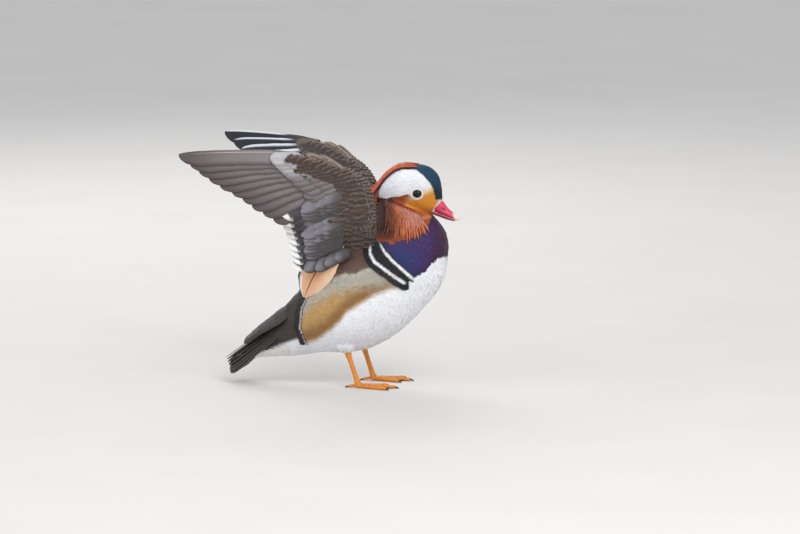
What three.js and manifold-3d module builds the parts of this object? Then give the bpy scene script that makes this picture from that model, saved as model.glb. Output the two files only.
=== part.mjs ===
// A life-size standing mandarin drake with both wings raised and held back, in millimetres.
// +X is the way the bird faces, +Y its left side and +Z up, with the soles at z = 0.
import * as THREE from "three";
import { mergeVertices } from "three/addons/utils/BufferGeometryUtils.js";
import Module from "manifold-3d";

const wasm = await Module();
wasm.setup();

// Clearances and the thickness of a vane
const GAP = 0.3;
const VANE = 0.7;
const LOCK = 1.1;

// Trunk from the tail root to the throat: top x and z, bottom x and z, half width
const TRUNK = [
  [-111.8, 61.7, -115.3, 36.5, 10],
  [-91.3, 84.9, -90.1, 30.2, 20],
  [-73.0, 105.8, -67.3, 31.8, 33],
  [-52.5, 127.9, -44.5, 35.6, 44],
  [-32.0, 145.4, -21.7, 36.1, 50],
  [-13.7, 160.6, 6.8, 41.2, 52],
  [0, 174.6, 38.8, 59.0, 51],
  [9.1, 187.3, 68.5, 88.1, 47],
  [13.7, 196.5, 89.0, 115.9, 42],
  [16.0, 203.4, 95.9, 145.7, 37],
  [18.3, 209.2, 94.1, 170.7, 31],
  [20.5, 213.8, 84.4, 186.5, 26],
  [22.8, 219.5, 75.3, 195.5, 22],
];
const NECK_CUT = 7.5;

// Skull with the core of the crest, from the nape to the root of the bill
const HEAD = [
  [15.0, 223.0, 17.0, 212.0, 5],
  [18.5, 230.5, 21.5, 207.5, 10],
  [26.0, 239.0, 28.0, 204.5, 15.0],
  [38.8, 247.6, 38.8, 201.6, 18.8],
  [52.5, 251.2, 52.5, 198.4, 20.6],
  [66.2, 252.2, 65.0, 196.4, 20.5],
  [77.6, 248.0, 71.5, 194.8, 17.5],
  [85.6, 239.0, 75.2, 194.2, 13],
  [89.0, 225.4, 77.4, 194.3, 9.5],
  [90.0, 210.6, 79.0, 195.2, 8],
];

// Both halves of the bill, from the root to the nail, as top, bottom and half width
const UPPER_BILL = [
  [90.4, 210.3, 79.0, 198.5, 7.4],
  [94.0, 204.7, 86.0, 195.6, 7.0],
  [98.5, 199.9, 93.0, 193.1, 6.8],
  [103.5, 196.4, 99.5, 190.9, 6.6],
  [107.2, 194.0, 104.2, 189.0, 5.4],
  [109.0, 190.2, 107.6, 187.9, 2.6],
];
const LOWER_BILL = [
  [79.2, 197.4, 79.0, 194.8, 6.4],
  [85.6, 195.0, 86.6, 192.3, 6.2],
  [92.6, 192.4, 93.6, 189.8, 5.9],
  [99.2, 190.1, 99.8, 188.3, 5.0],
  [103.4, 188.6, 103.6, 187.7, 2.8],
];
const NOSTRIL = { x: 90.6, y: 6.6, z: 203.0, length: 2.6, height: 1.1 };

// Eye
const EYE = { x: 63.1, y: 16.6, z: 220.6, radius: 5.2, lid: 0.8 };

// Wing plane of each side: y = side * (base - slope x + rise z)
const WINGS = {
  R: { side: -1, base: 32.2, slope: 0.315, rise: 0.14, lag: 0, drop: 0, stretch: 0 },
  L: { side: 1, base: 27.7, slope: 0.463, rise: 0.139, lag: -10.9, drop: 8.6, stretch: 0.094 },
};
// Arm and hand: front edge x and z, rear edge x and z, half thickness
const ARM = [
  [14, 138, -20, 136, 7],
  [17, 152, -24, 150, 7],
  [20, 170, -25, 165, 6.8],
  [21.3, 190, -24.8, 182, 6.4],
  [21, 206, -24, 200, 6],
  [18.4, 224, -24.5, 216, 5.5],
  [12, 240, -27, 228, 5.2],
  [-2, 251.5, -33, 237, 4.8],
  [-20, 259, -46, 245, 4],
  [-42, 266, -60, 255, 3.8],
  [-63, 271.5, -73, 264, 3.2],
  [-84, 272, -86, 268, 1.2],
];
// Below this the wing leans in to the shoulder; the tips of its feathers stay at least the share clear out
const SHOULDER = { y: 26, low: 146, high: 196, level: 150, reach: 90, wrist: 6.7, clear: 0.8 };
// Flight feathers, as x and z of root and tip in the wing plane
const PRIMARIES = {
  count: 10,
  roots: [[-60, 267.5], [-10, 238]],
  tips: [[-190.5, 270], [-88, 195]],
  width: [17, 20],
  cover: [0.24, 0.48],
};
const SECONDARIES = {
  count: 9,
  roots: [[-6, 233], [-20, 168]],
  tips: [[-81, 200.5], [-70, 140]],
  width: [20, 19],
  cover: [0.72, 0.76],
};
const TERTIALS = [
  { root: [-16, 165], tip: [-59, 137], width: 18 },
  { root: [-13, 162], tip: [-47, 138], width: 17 },
  { root: [-10, 159], tip: [-37, 144], width: 15 },
];
const ALULA = [
  { root: [-8, 249], tip: [-52, 271.5], width: 9 },
  { root: [-10, 250], tip: [-38, 269], width: 8 },
];
// The orange sail beside the rump: shaft points with the y distance from the middle, half width
const SAIL = [
  [-19, 42, 166, 4],
  [-34, 44, 150, 15],
  [-48, 43, 132, 19],
  [-57, 40, 115, 13],
  [-62.5, 36.5, 103, 2],
];

// Tail
const TAIL_CUT = 1.3;
const TAIL = {
  pairs: 5,
  root: [-89, 74],
  tip: [-158.5, 27],
  width: 17,
  rootSpread: 2.2,
  tipSpread: 3.5,
  level: 1.5,
  roll: 2,
  covers: 2,
  coverRoot: [-90, 80],
  coverTip: [-117, 60],
  coverWidth: 13,
};
// Rump and tail coverts under the tail feathers: top, bottom and half width
const RUMP = [
  [-88, 88, -86.5, 30.5, 21],
  [-99, 71, -100, 30, 15.5],
  [-113, 56, -114, 29, 11],
  [-127, 45, -125, 28, 6.5],
  [-135, 38, -134, 29, 2.5],
];

// Legs and feet
const LEGS = {
  R: { side: -1, footX: -2.8, ankleX: -13.9, y: 28 },
  L: { side: 1, footX: 6.2, ankleX: -3.8, y: 28 },
};
const ANKLE_Z = 37.7;
const FOOT = { instep: 6.6, middle: 47, outer: 41, inner: 38, spread: 0.42, hallux: 15, web: 1.3 };

const v = (x, y, z) => new THREE.Vector3(x, y, z);
const lerp = THREE.MathUtils.lerp;
const clamp = THREE.MathUtils.clamp;
const rad = THREE.MathUtils.degToRad;

// A seeded draw, for the small differences among feathers
let seed = 7;
function vary(amount) {
  seed = (seed * 16807) % 2147483647;
  return ((seed / 2147483647) * 2 - 1) * amount;
}

// Solids from geometry, and geometry from solids
function solid(geometry) {
  const bare = geometry.clone();
  bare.deleteAttribute("normal");
  bare.deleteAttribute("uv");
  const merged = mergeVertices(bare, 1e-4);
  return new wasm.Manifold(
    new wasm.Mesh({
      numProp: 3,
      vertProperties: new Float32Array(merged.attributes.position.array),
      triVerts: new Uint32Array(merged.index.array),
    }),
  );
}

// A closed body of points and faces, turned to face outwards
function closed(points, faces) {
  let volume = 0;
  for (let i = 0; i < faces.length; i += 3) {
    const [a, b, c] = [points[faces[i]], points[faces[i + 1]], points[faces[i + 2]]];
    volume += a.dot(v().copy(b).cross(c));
  }
  if (volume < 0) faces.reverse();
  const geometry = new THREE.BufferGeometry().setFromPoints(points);
  geometry.setIndex(faces);
  return solid(geometry);
}

function fuse(parts) {
  return wasm.Manifold.union(parts);
}

// The largest closed surface, as the geometry of one piece
function geometryOf(body) {
  const whole = body.decompose().sort((a, b) => b.volume() - a.volume())[0];
  const mesh = whole.getMesh();
  const geometry = new THREE.BufferGeometry();
  const places = new Float32Array(mesh.vertProperties);
  geometry.setAttribute("position", new THREE.BufferAttribute(places, 3));
  geometry.setIndex(new THREE.BufferAttribute(new Uint32Array(mesh.triVerts), 1));
  return geometry;
}

// A body through rings of equal count, each end closed round its own centre
function loft(rings) {
  const n = rings[0].length;
  const points = rings.flat();
  const faces = [];
  for (let i = 0; i + 1 < rings.length; i++)
    for (let j = 0; j < n; j++) {
      const a = i * n + j;
      const b = i * n + ((j + 1) % n);
      faces.push(a, b, b + n, a, b + n, a + n);
    }
  for (const [start, turn] of [[0, true], [(rings.length - 1) * n, false]]) {
    const centre = v();
    for (let j = 0; j < n; j++) centre.addScaledVector(points[start + j], 1 / n);
    points.push(centre);
    for (let j = 0; j < n; j++) {
      const a = start + j;
      const b = start + ((j + 1) % n);
      if (turn) faces.push(b, a, points.length - 1);
      else faces.push(a, b, points.length - 1);
    }
  }
  return closed(points, faces);
}

// Smooth curves through stations of top, bottom and half width
function profile(stations) {
  const last = stations.length - 1;
  const curve = (pick) => new THREE.CatmullRomCurve3(stations.map(pick), false, "centripetal");
  const tops = curve((s) => v(s[0], 0, s[1]));
  const bottoms = curve((s) => v(s[2], 0, s[3]));
  const halves = curve((s, i) => v(i * 10, s[4], 0));
  // The surface point at station t and angle a from the top, off millimetres outside
  const at = (t, a, off = 0) => {
    const top = tops.getPoint(t / last);
    const bottom = bottoms.getPoint(t / last);
    const half = halves.getPoint(t / last).y;
    const middle = top.clone().add(bottom).multiplyScalar(0.5);
    const up = top.sub(middle);
    const length = up.length();
    const fuller = (s) => Math.sign(s) * Math.abs(s) ** 0.94;
    middle.addScaledVector(up, (fuller(Math.cos(a)) * (length + off)) / length);
    middle.y = fuller(Math.sin(a)) * (half + off);
    return middle;
  };
  const body = (from, to, steps, sides, off = 0) => {
    const rings = [];
    for (let i = 0; i <= steps; i++) {
      const ring = [];
      for (let j = 0; j < sides; j++)
        ring.push(at(lerp(from, to, i / steps), (j * 2 * Math.PI) / sides, off));
      rings.push(ring);
    }
    if (off > 0) {
      const pushed = (ring, inner) => {
        const middleOf = (r) => r[0].clone().add(r[sides / 2]);
        const along = middleOf(ring).sub(middleOf(inner)).setLength(off);
        return ring.map((p) => p.clone().add(along));
      };
      rings.unshift(pushed(rings[0], rings[1]));
      rings.push(pushed(rings[rings.length - 1], rings[rings.length - 2]));
    }
    return loft(rings);
  };
  return { at, body, last };
}

// A flat blade along points, with its face normals, half widths and thickness, faced alike on both sides
function blade(points, normals, halves, thickness) {
  const corners = [];
  points.forEach((p, i) => {
    const next = points[Math.min(i + 1, points.length - 1)];
    const previous = points[Math.max(i - 1, 0)];
    const along = next.clone().sub(previous).normalize();
    const side = normals[i].clone().cross(along).normalize();
    const up = along.clone().cross(side).setLength(thickness / 2);
    side.multiplyScalar(halves[i]);
    corners.push(p.clone().sub(side).add(up));
    corners.push(p.clone().add(side).add(up));
    corners.push(p.clone().add(side).sub(up));
    corners.push(p.clone().sub(side).sub(up));
  });
  const faces = [];
  for (let i = 0; i + 1 < points.length; i++) {
    const [a, b, c, d] = [4 * i, 4 * i + 1, 4 * i + 2, 4 * i + 3];
    faces.push(a, b, b + 4, a, b + 4, a + 4);
    faces.push(b, c, c + 4, b, c + 4, b + 4);
    faces.push(d, d + 4, c + 4, d, c + 4, c);
    faces.push(d, a, a + 4, d, a + 4, d + 4);
  }
  const end = 4 * (points.length - 1);
  faces.push(0, 2, 1, 0, 3, 2, end, end + 1, end + 2, end, end + 2, end + 3);
  return closed(corners, faces);
}

// Shares of a vane's length and of its half width
const LONG_VANE = [[0, 0.4], [0.4, 1], [0.86, 0.94], [1, 0.25]];
const SHORT_VANE = [[0, 0.7], [0.8, 1], [1, 0.35]];

// A vane from root to tip with the face normal and the width given
function vane(root, tip, normal, width, shares) {
  const points = shares.map(([t]) => root.clone().lerp(tip, t));
  const normals = points.map(() => normal);
  const halves = shares.map(([, share]) => (share * width) / 2);
  return blade(points, normals, halves, VANE);
}

const trunk = profile(TRUNK);
const skull = profile(HEAD);
const torsoCutter = trunk.body(TAIL_CUT, NECK_CUT, 16, 20, GAP);
const headCutter = skull.body(0, skull.last, 15, 18, GAP);

function makeTorso() {
  return trunk.body(TAIL_CUT, NECK_CUT - 0.02, 16, 20);
}

// Hackles of the ruff: two tiers on each side, fanned from the cheek over the breast
function ruff(side) {
  const locks = [];
  for (const tier of [0, 1])
    for (let i = 0; i < 6 - tier; i++) {
      const u = (i + 0.5 * tier) / 5;
      const reach = tier ? 0.62 : 1;
      const rootAngle = rad(lerp(48, 108, u));
      const tipAngle = lerp(rootAngle, rad(lerp(58, 121, u)), reach);
      const tipStation = lerp(11.7, lerp(6.9, 10, u), reach) + vary(0.12);
      const lift = (i % 2) * 1.6 + tier * 3.4;
      const points = [];
      const normals = [];
      for (const t of [0, 0.33, 0.68, 1]) {
        const station = lerp(11.7, tipStation, t);
        const angle = side * lerp(rootAngle, tipAngle, t);
        points.push(trunk.at(station, angle, lerp(-1.4, 1.5 + lift, Math.min(1, t * 3.2))));
        normals.push(trunk.at(station, angle, 4).sub(trunk.at(station, angle, 0)).normalize());
      }
      locks.push(blade(points, normals, [2.2, 5, 4.4, 0.6], LOCK));
    }
  return locks;
}

function makeNeck() {
  const core = trunk.body(NECK_CUT + 0.03, trunk.last, 8, 20);
  return fuse([core, ...ruff(-1), ...ruff(1)]).subtract(torsoCutter).subtract(headCutter);
}

// Crest: three tiers of silky locks from the crown, drooping past the nape
function crest() {
  const locks = [];
  for (const tier of [0, 1])
    for (let i = -2; i <= 2; i++) {
      const angle = i * (0.42 + 0.16 * tier);
      const rootStation = 4.6 - 1.6 * tier;
      const tip = v(6.5 + Math.abs(i) * 2 + tier, i * (3.6 + tier * 1.6), 225 - tier * 11 - Math.abs(i) * 2);
      tip.z += vary(1);
      const lift = 1.7 + (i % 2 === 0 ? 0 : 1.4) + (1 - tier) * 1.6;
      const stations = [0, 0.24, 0.56, 0.84].map((t) => lerp(rootStation, 0.6, t));
      const points = stations.map((t, k) => skull.at(t, angle, k ? lift : -1.5));
      points.push(tip);
      const normals = [...stations, 0.3].map((t) =>
        skull.at(t, angle, 4).sub(skull.at(t, angle, 0)).normalize(),
      );
      locks.push(blade(points, normals, [2.4, 4.4, 4.8, 3.8, 0.6], LOCK));
    }
  return locks;
}

const eyeCentre = (side) => v(EYE.x, side * EYE.y, EYE.z);

function ball(radius, centre, across = 14, down = 8) {
  return solid(new THREE.SphereGeometry(radius, across, down).translate(centre.x, centre.y, centre.z));
}

// Upper and lower lid: a ring round the eyeball, set into the cheek
function lids(side) {
  const ring = new THREE.TorusGeometry(EYE.radius - 0.5, EYE.lid, 5, 14).rotateX(Math.PI / 2);
  const centre = eyeCentre(side).add(v(0, side * 3.1, 0));
  return solid(ring.translate(centre.x, centre.y, centre.z));
}

function makeHead() {
  const core = skull.body(0, skull.last, 15, 18);
  return fuse([core, ...crest(), lids(-1), lids(1)])
    .subtract(ball(EYE.radius + GAP, eyeCentre(-1)))
    .subtract(ball(EYE.radius + GAP, eyeCentre(1)));
}

function makeUpperBill() {
  const bill = profile(UPPER_BILL);
  let body = bill.body(0, bill.last, 6, 12);
  for (const side of [-1, 1]) {
    const slit = new THREE.SphereGeometry(1, 10, 6).scale(NOSTRIL.length, 1.2, NOSTRIL.height).rotateY(0.7);
    body = body.subtract(solid(slit.translate(NOSTRIL.x, side * NOSTRIL.y, NOSTRIL.z)));
  }
  return body.subtract(headCutter);
}

function makeLowerBill() {
  const bill = profile(LOWER_BILL);
  const upper = profile(UPPER_BILL);
  return bill
    .body(0, bill.last, 6, 12)
    .subtract(upper.body(0, upper.last, 6, 12, GAP))
    .subtract(headCutter);
}

// The place in space of a point of the wing plane, off millimetres towards the back of the wing
function wingFrame(wing) {
  const normal = v(wing.side * wing.slope, 1, -wing.side * wing.rise);
  normal.normalize().multiplyScalar(-wing.side);
  const place = (x, z, off = 0, least = 0) => {
    const share = clamp((z - SHOULDER.level) / SHOULDER.reach, 0, 1);
    const px = x + share * (wing.lag + (SHOULDER.wrist - x) * wing.stretch);
    const pz = z - share * wing.drop;
    const level = Math.max(least, THREE.MathUtils.smoothstep(pz, SHOULDER.low, SHOULDER.high));
    const y = lerp(SHOULDER.y, wing.base - wing.slope * px + wing.rise * pz, level);
    return v(px, wing.side * y, pz).addScaledVector(normal, off);
  };
  return { normal, place };
}

// Arm and hand as one lens-shaped body
function arm(frame) {
  const upper = [[0.15, 0.8], [0.5, 1], [0.85, 0.5], [1, 0.12]];
  const lower = upper.map(([u, h]) => [u, -h]).reverse();
  const outline = [[0, 0], ...upper, ...lower];
  const rings = ARM.map(([fx, fz, rx, rz, half]) =>
    outline.map(([u, h]) => frame.place(lerp(fx, rx, u), lerp(fz, rz, u), h * half)),
  );
  return loft(rings);
}

// One flight feather with the coverts that lie over and under its root
function flightFeathers(frame, set) {
  const parts = [];
  const step = (pair, t) => [lerp(pair[0][0], pair[1][0], t), lerp(pair[0][1], pair[1][1], t)];
  const gapAt = (pair) => Math.hypot(pair[0][0] - pair[1][0], pair[0][1] - pair[1][1]) / (set.count - 1);
  const slope = Math.asin(1.05 / Math.min(gapAt(set.roots), gapAt(set.tips)));
  for (let i = 0; i < set.count; i++) {
    const t = i / (set.count - 1);
    const [rx, rz] = step(set.roots, t);
    const [tx, tz] = step(set.tips, t);
    const root = frame.place(rx, rz);
    const tip = frame.place(tx, tz, 0, SHOULDER.clear);
    const along = tip.clone().sub(root).normalize();
    const inner = frame.normal.clone().cross(along).normalize();
    if (inner.dot(v(0.4, 0, -1)) < 0) inner.negate();
    const normal = frame.normal.clone().multiplyScalar(Math.cos(slope));
    normal.addScaledVector(inner, Math.sin(slope));
    const width = lerp(set.width[0], set.width[1], t);
    tip.addScaledVector(along, vary(1.2));
    parts.push(vane(root, tip, normal, width, LONG_VANE));
    // Every second covert, wide enough to reach the next one
    const cover = lerp(set.cover[0], set.cover[1], t) + vary(0.02);
    const faces = i % 2 === 0 ? [-1, 1] : [];
    for (const face of faces) {
      const from = root.clone().addScaledVector(normal, face * 2.2);
      const to = root.clone().lerp(tip, cover * (face < 0 ? 1 : 0.85)).addScaledVector(normal, face * 2.4);
      parts.push(vane(from, to, normal, width * 1.2, SHORT_VANE));
    }
  }
  return parts;
}

// Shorter feathers that lie apart from the rows
function looseVane(frame, { root, tip, width }, off) {
  const from = frame.place(root[0], root[1], off);
  const to = frame.place(tip[0], tip[1], off, SHOULDER.clear);
  return vane(from, to, frame.normal, width, LONG_VANE);
}

function sail(wing) {
  const points = SAIL.map(([x, y, z]) => v(x, wing.side * y, z));
  const normals = points.map(() => v(0.12, wing.side, 0.3).normalize());
  return blade(points, normals, SAIL.map((s) => s[3]), 0.8);
}

function makeWing(wing) {
  const frame = wingFrame(wing);
  const parts = [arm(frame), ...flightFeathers(frame, PRIMARIES), ...flightFeathers(frame, SECONDARIES)];
  TERTIALS.forEach((feather, i) => parts.push(looseVane(frame, feather, 1.2 + 1.1 * i)));
  ALULA.forEach((feather, i) => parts.push(looseVane(frame, feather, -3 + 6 * i)));
  parts.push(sail(wing));
  return fuse(parts).subtract(torsoCutter);
}

// Tail: closed and roofed, each outer pair one level below the last
function makeTail() {
  const rump = profile(RUMP);
  const parts = [rump.body(0, rump.last, 6, 16)];
  for (let i = -TAIL.pairs; i <= TAIL.pairs; i++) {
    const out = Math.abs(i);
    const level = 2 * out - (i < 0 ? 1 : 0);
    const down = level * TAIL.level;
    const root = v(TAIL.root[0] - out * 0.8, i * TAIL.rootSpread, TAIL.root[1] - down);
    const tip = v(TAIL.tip[0] + out * 1.6 + vary(1), i * TAIL.tipSpread, TAIL.tip[1] - down);
    const roll = rad(i * TAIL.roll);
    const normal = v(0.45, Math.sin(roll), Math.cos(roll)).normalize();
    parts.push(vane(root, tip, normal, TAIL.width, LONG_VANE));
  }
  for (let i = -TAIL.covers; i <= TAIL.covers; i++) {
    const out = Math.abs(i);
    const down = (2 * out - (i < 0 ? 1 : 0)) * TAIL.level;
    const root = v(TAIL.coverRoot[0], i * 3.2, TAIL.coverRoot[1] - down);
    const tip = v(TAIL.coverTip[0] + out * 3, i * 4.4, TAIL.coverTip[1] - down);
    const normal = v(0.55, Math.sin(rad(i * 4)), 1).normalize();
    parts.push(vane(root, tip, normal, TAIL.coverWidth, SHORT_VANE));
  }
  return fuse(parts).subtract(torsoCutter);
}

// Tapered tube along points with a radius at each, for shanks and toes
function limb(points, radii, sides, squash = 1) {
  const rings = points.map((p, i) => {
    const next = points[Math.min(i + 1, points.length - 1)];
    const previous = points[Math.max(i - 1, 0)];
    const along = next.clone().sub(previous).normalize();
    const across = v(0, 1, 0).addScaledVector(along, -along.y).normalize();
    const up = along.clone().cross(across);
    const ring = [];
    for (let j = 0; j < sides; j++) {
      const a = (j * 2 * Math.PI) / sides;
      ring.push(
        p.clone()
          .addScaledVector(across, Math.cos(a) * radii[i] * squash)
          .addScaledVector(up, Math.sin(a) * radii[i]),
      );
    }
    return ring;
  });
  return loft(rings);
}

// Everything between two heights, as a cutter
function layer(low, high) {
  return solid(new THREE.BoxGeometry(300, 300, high - low).translate(0, 0, (low + high) / 2));
}

function makeLeg(leg) {
  const y = leg.side * leg.y;
  const foot = v(leg.footX, y + leg.side, FOOT.instep - 1);
  const ankle = v(leg.ankleX, y - leg.side, ANKLE_Z);
  const thigh = v(leg.ankleX - 4, y - leg.side * 2, ANKLE_Z + 22);
  const points = [foot, foot.clone().lerp(ankle, 0.3), foot.clone().lerp(ankle, 0.78), ankle];
  points.push(ankle.clone().lerp(thigh, 0.28), thigh);
  return limb(points, [3.3, 2.8, 2.9, 3.7, 3.6, 7], 10, 0.85)
    .subtract(torsoCutter)
    .subtract(layer(0, FOOT.instep + GAP));
}

// A webbed foot flat on the floor: three front toes, the web between them and a small hind toe
function makeFoot(leg) {
  const heel = v(leg.footX, leg.side * (leg.y + 1), 0);
  const ends = [
    [FOOT.inner, -FOOT.spread],
    [FOOT.middle, 0],
    [FOOT.outer, FOOT.spread],
  ].map(([length, turn]) => v(Math.cos(turn) * length, leg.side * Math.sin(turn) * length, 0).add(heel));
  const web = new THREE.Shape();
  web.moveTo(heel.x - 3, heel.y - 2.6);
  const low = leg.side > 0 ? ends : [...ends].reverse();
  const pull = (p, share) => heel.clone().lerp(p, share);
  const middle = (a, b) => pull(a.clone().lerp(b, 0.5), 0.84);
  web.lineTo(pull(low[0], 0.9).x, pull(low[0], 0.9).y);
  const bays = [middle(low[0], low[1]), middle(low[1], low[2])];
  web.quadraticCurveTo(bays[0].x, bays[0].y, pull(low[1], 0.92).x, pull(low[1], 0.92).y);
  web.quadraticCurveTo(bays[1].x, bays[1].y, pull(low[2], 0.9).x, pull(low[2], 0.9).y);
  web.lineTo(heel.x - 3, heel.y + 2.6);
  const webbing = { depth: FOOT.web, bevelEnabled: false, curveSegments: 5 };
  const parts = [solid(new THREE.ExtrudeGeometry(web, webbing))];
  for (const end of ends) {
    const along = [0, 0.33, 0.64, 0.9, 1];
    const size = [3, 2.4, 2.1, 1.6, 0.5];
    parts.push(limb(along.map((t) => pull(end, t).setZ(lerp(2.4, 1.0, t))), size, 6));
  }
  const back = heel.clone().add(v(-FOOT.hallux, -leg.side * 2, 0));
  const hind = [0, 0.5, 0.85, 1].map((t) => pull(back, t).setZ(lerp(3.4, 1.1, t)));
  parts.push(limb(hind, [2.2, 1.5, 1.2, 0.4], 6));
  const joint = [v(heel.x, heel.y, 1), v(heel.x + 0.6, heel.y, 3.4), v(heel.x, heel.y, FOOT.instep + 0.5)];
  parts.push(limb(joint, [3.6, 3.9, 3.3], 8, 1));
  return fuse(parts).subtract(layer(-20, 0)).subtract(layer(FOOT.instep, 20));
}

const finishes = {
  plumage: { color: 0xb98a45, roughness: 0.8 },
  ruff: { color: 0xa8562a, roughness: 0.7 },
  crown: { color: 0x2f6a68, roughness: 0.5 },
  wing: { color: 0x6f6468, roughness: 0.7 },
  tail: { color: 0x4a443c, roughness: 0.7 },
  bill: { color: 0xc8405a, roughness: 0.35 },
  eye: { color: 0x1a0f0a, roughness: 0.1 },
  leg: { color: 0xe08a2e, roughness: 0.5 },
};

const group = new THREE.Group();
function put(name, body, finish) {
  const material = new THREE.MeshStandardMaterial({ metalness: 0, ...finishes[finish] });
  const mesh = new THREE.Mesh(geometryOf(body), material);
  mesh.name = name;
  group.add(mesh);
}

put("torso", makeTorso(), "plumage");
put("neck", makeNeck(), "ruff");
put("head", makeHead(), "crown");
put("bill_upper", makeUpperBill(), "bill");
put("bill_lower", makeLowerBill(), "bill");
for (const name of ["R", "L"]) {
  put("eye_" + name, ball(EYE.radius, eyeCentre(LEGS[name].side)), "eye");
  put("wing_" + name, makeWing(WINGS[name]), "wing");
  put("leg_" + name, makeLeg(LEGS[name]), "leg");
  put("foot_" + name, makeFoot(LEGS[name]), "leg");
}
put("tail", makeTail(), "tail");

// The origin goes to the middle of the whole bird's box, on the floor
const box = new THREE.Box3().setFromObject(group);
const centre = box.getCenter(v());
group.position.set(-centre.x, -centre.y, -box.min.z);

export default group;
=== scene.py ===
# %% [markdown]
# A mandarin drake stands with both wings raised. This lesson dresses its plain solids, node by node, with
# one smooth skin, thousands of small contour feathers and several hundred large ones. We start by loading
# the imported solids, because every piece has to sit where they are.

# %% Load the frame
import bpy
import numpy as np
from math import cos, pi, radians, sin
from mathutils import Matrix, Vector


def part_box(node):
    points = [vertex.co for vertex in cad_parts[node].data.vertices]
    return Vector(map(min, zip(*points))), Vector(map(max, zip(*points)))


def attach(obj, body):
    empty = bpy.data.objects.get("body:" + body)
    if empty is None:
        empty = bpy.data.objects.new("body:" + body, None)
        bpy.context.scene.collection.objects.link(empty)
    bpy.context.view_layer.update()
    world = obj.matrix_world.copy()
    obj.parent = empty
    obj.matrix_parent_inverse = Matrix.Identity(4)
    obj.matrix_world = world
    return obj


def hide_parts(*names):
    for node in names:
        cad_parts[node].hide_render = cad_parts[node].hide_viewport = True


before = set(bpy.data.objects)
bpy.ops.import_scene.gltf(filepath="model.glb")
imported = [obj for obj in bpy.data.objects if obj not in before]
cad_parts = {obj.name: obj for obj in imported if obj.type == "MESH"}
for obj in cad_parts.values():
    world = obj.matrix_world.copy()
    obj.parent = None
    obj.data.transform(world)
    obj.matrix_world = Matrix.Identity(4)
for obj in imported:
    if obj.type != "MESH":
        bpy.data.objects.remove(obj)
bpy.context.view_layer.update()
RIDE = "root"
print("solids loaded:", len(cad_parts))

# %% [markdown]
# The drake was drawn in millimetres round a point between its feet, and the solids were then centred on
# the floor. The right eye is a ball of known centre, so its box tells how far everything was shifted.

# %% Millimetres of the drawing to metres of the frame
MM = 0.001
EYE = dict(x=63.1, y=16.6, z=220.6, radius=5.2)
low, high = (np.array(corner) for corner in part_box("eye_R"))
SHIFT = (low + high) / 2 - np.array([EYE["x"], -EYE["y"], EYE["z"]]) * MM
SHIFT[2] = 0.0


def to_frame(points):
    return np.asarray(points, float) * MM + SHIFT


print("shift in mm:", np.round(SHIFT / MM, 2))

# %% [markdown]
# Every smooth form here is a loft: rings of points strung between a top line and a bottom line. One
# function runs a Catmull-Rom curve through the named stations, so a dozen rows give a whole body.

# %% Stations and lofts
TRUNK = np.array([
    [-111.8, 61.7, -115.3, 36.5, 10], [-91.3, 84.9, -90.1, 30.2, 20], [-73.0, 105.8, -67.3, 31.8, 33],
    [-52.5, 127.9, -44.5, 35.6, 44], [-32.0, 145.4, -21.7, 36.1, 50], [-13.7, 160.6, 6.8, 41.2, 52],
    [0, 174.6, 38.8, 59.0, 51], [9.1, 187.3, 68.5, 88.1, 47], [13.7, 196.5, 89.0, 115.9, 42],
    [16.0, 203.4, 95.9, 145.7, 37], [18.3, 209.2, 94.1, 170.7, 31], [20.5, 213.8, 84.4, 186.5, 26],
    [22.8, 219.5, 75.3, 195.5, 22]])
HEAD = np.array([
    [15.0, 223.0, 17.0, 212.0, 5], [18.5, 230.5, 21.5, 207.5, 10], [26.0, 240.0, 28.0, 204.5, 15.0],
    [38.8, 248.6, 38.8, 201.6, 18.8], [52.5, 251.8, 52.5, 198.4, 20.6], [66.2, 252.2, 65.0, 196.4, 20.5],
    [77.6, 248.0, 71.5, 194.8, 17.5], [85.6, 239.0, 75.2, 194.2, 13], [89.0, 225.4, 77.4, 194.3, 9.5],
    [90.0, 210.6, 79.0, 195.2, 8]])
RUMP = np.array([
    [-86, 90, -84, 30.5, 22], [-99, 73, -100, 30, 16], [-113, 58, -114, 29, 12],
    [-127, 47, -125, 28, 7], [-135, 39, -134, 29, 3]])


def smooth(low, high, value):
    t = np.clip((np.asarray(value, float) - low) / (high - low), 0, 1)
    return t * t * (3 - 2 * t)


def mix(a, b, t):
    return a + (b - a) * t


def unit(vector):
    vector = np.asarray(vector, float)
    return vector / (np.linalg.norm(vector, axis=-1, keepdims=True) + 1e-12)


def catmull(rows, t):
    rows = np.asarray(rows, float)
    last = len(rows) - 1
    t = np.clip(np.asarray(t, float), 0, last)
    i = np.minimum(t.astype(int), last - 1)
    f = (t - i)[..., None]
    p0, p1 = rows[np.maximum(i - 1, 0)], rows[i]
    p2, p3 = rows[i + 1], rows[np.minimum(i + 2, last)]
    return 0.5 * (2 * p1 + (p2 - p0) * f + (2 * p0 - 5 * p1 + 4 * p2 - p3) * f**2
                  + (3 * p1 - p0 - 3 * p2 + p3) * f**3)


def on_loft(rows, t, angle, off=0.0):
    """Points of a lofted form at station t and angle from the top, off mm outside it."""
    s = catmull(rows, t)
    top, bottom, half = s[..., 0:2], s[..., 2:4], s[..., 4]
    middle, up = (top + bottom) / 2, (top - bottom) / 2
    length = np.linalg.norm(up, axis=-1)
    c = np.sign(np.cos(angle)) * np.abs(np.cos(angle)) ** 0.94
    n = np.sign(np.sin(angle)) * np.abs(np.sin(angle)) ** 0.94
    xz = middle + up * (c * (length + off) / length)[..., None]
    return np.stack([xz[..., 0], n * (half + off), xz[..., 1]], -1)


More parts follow.
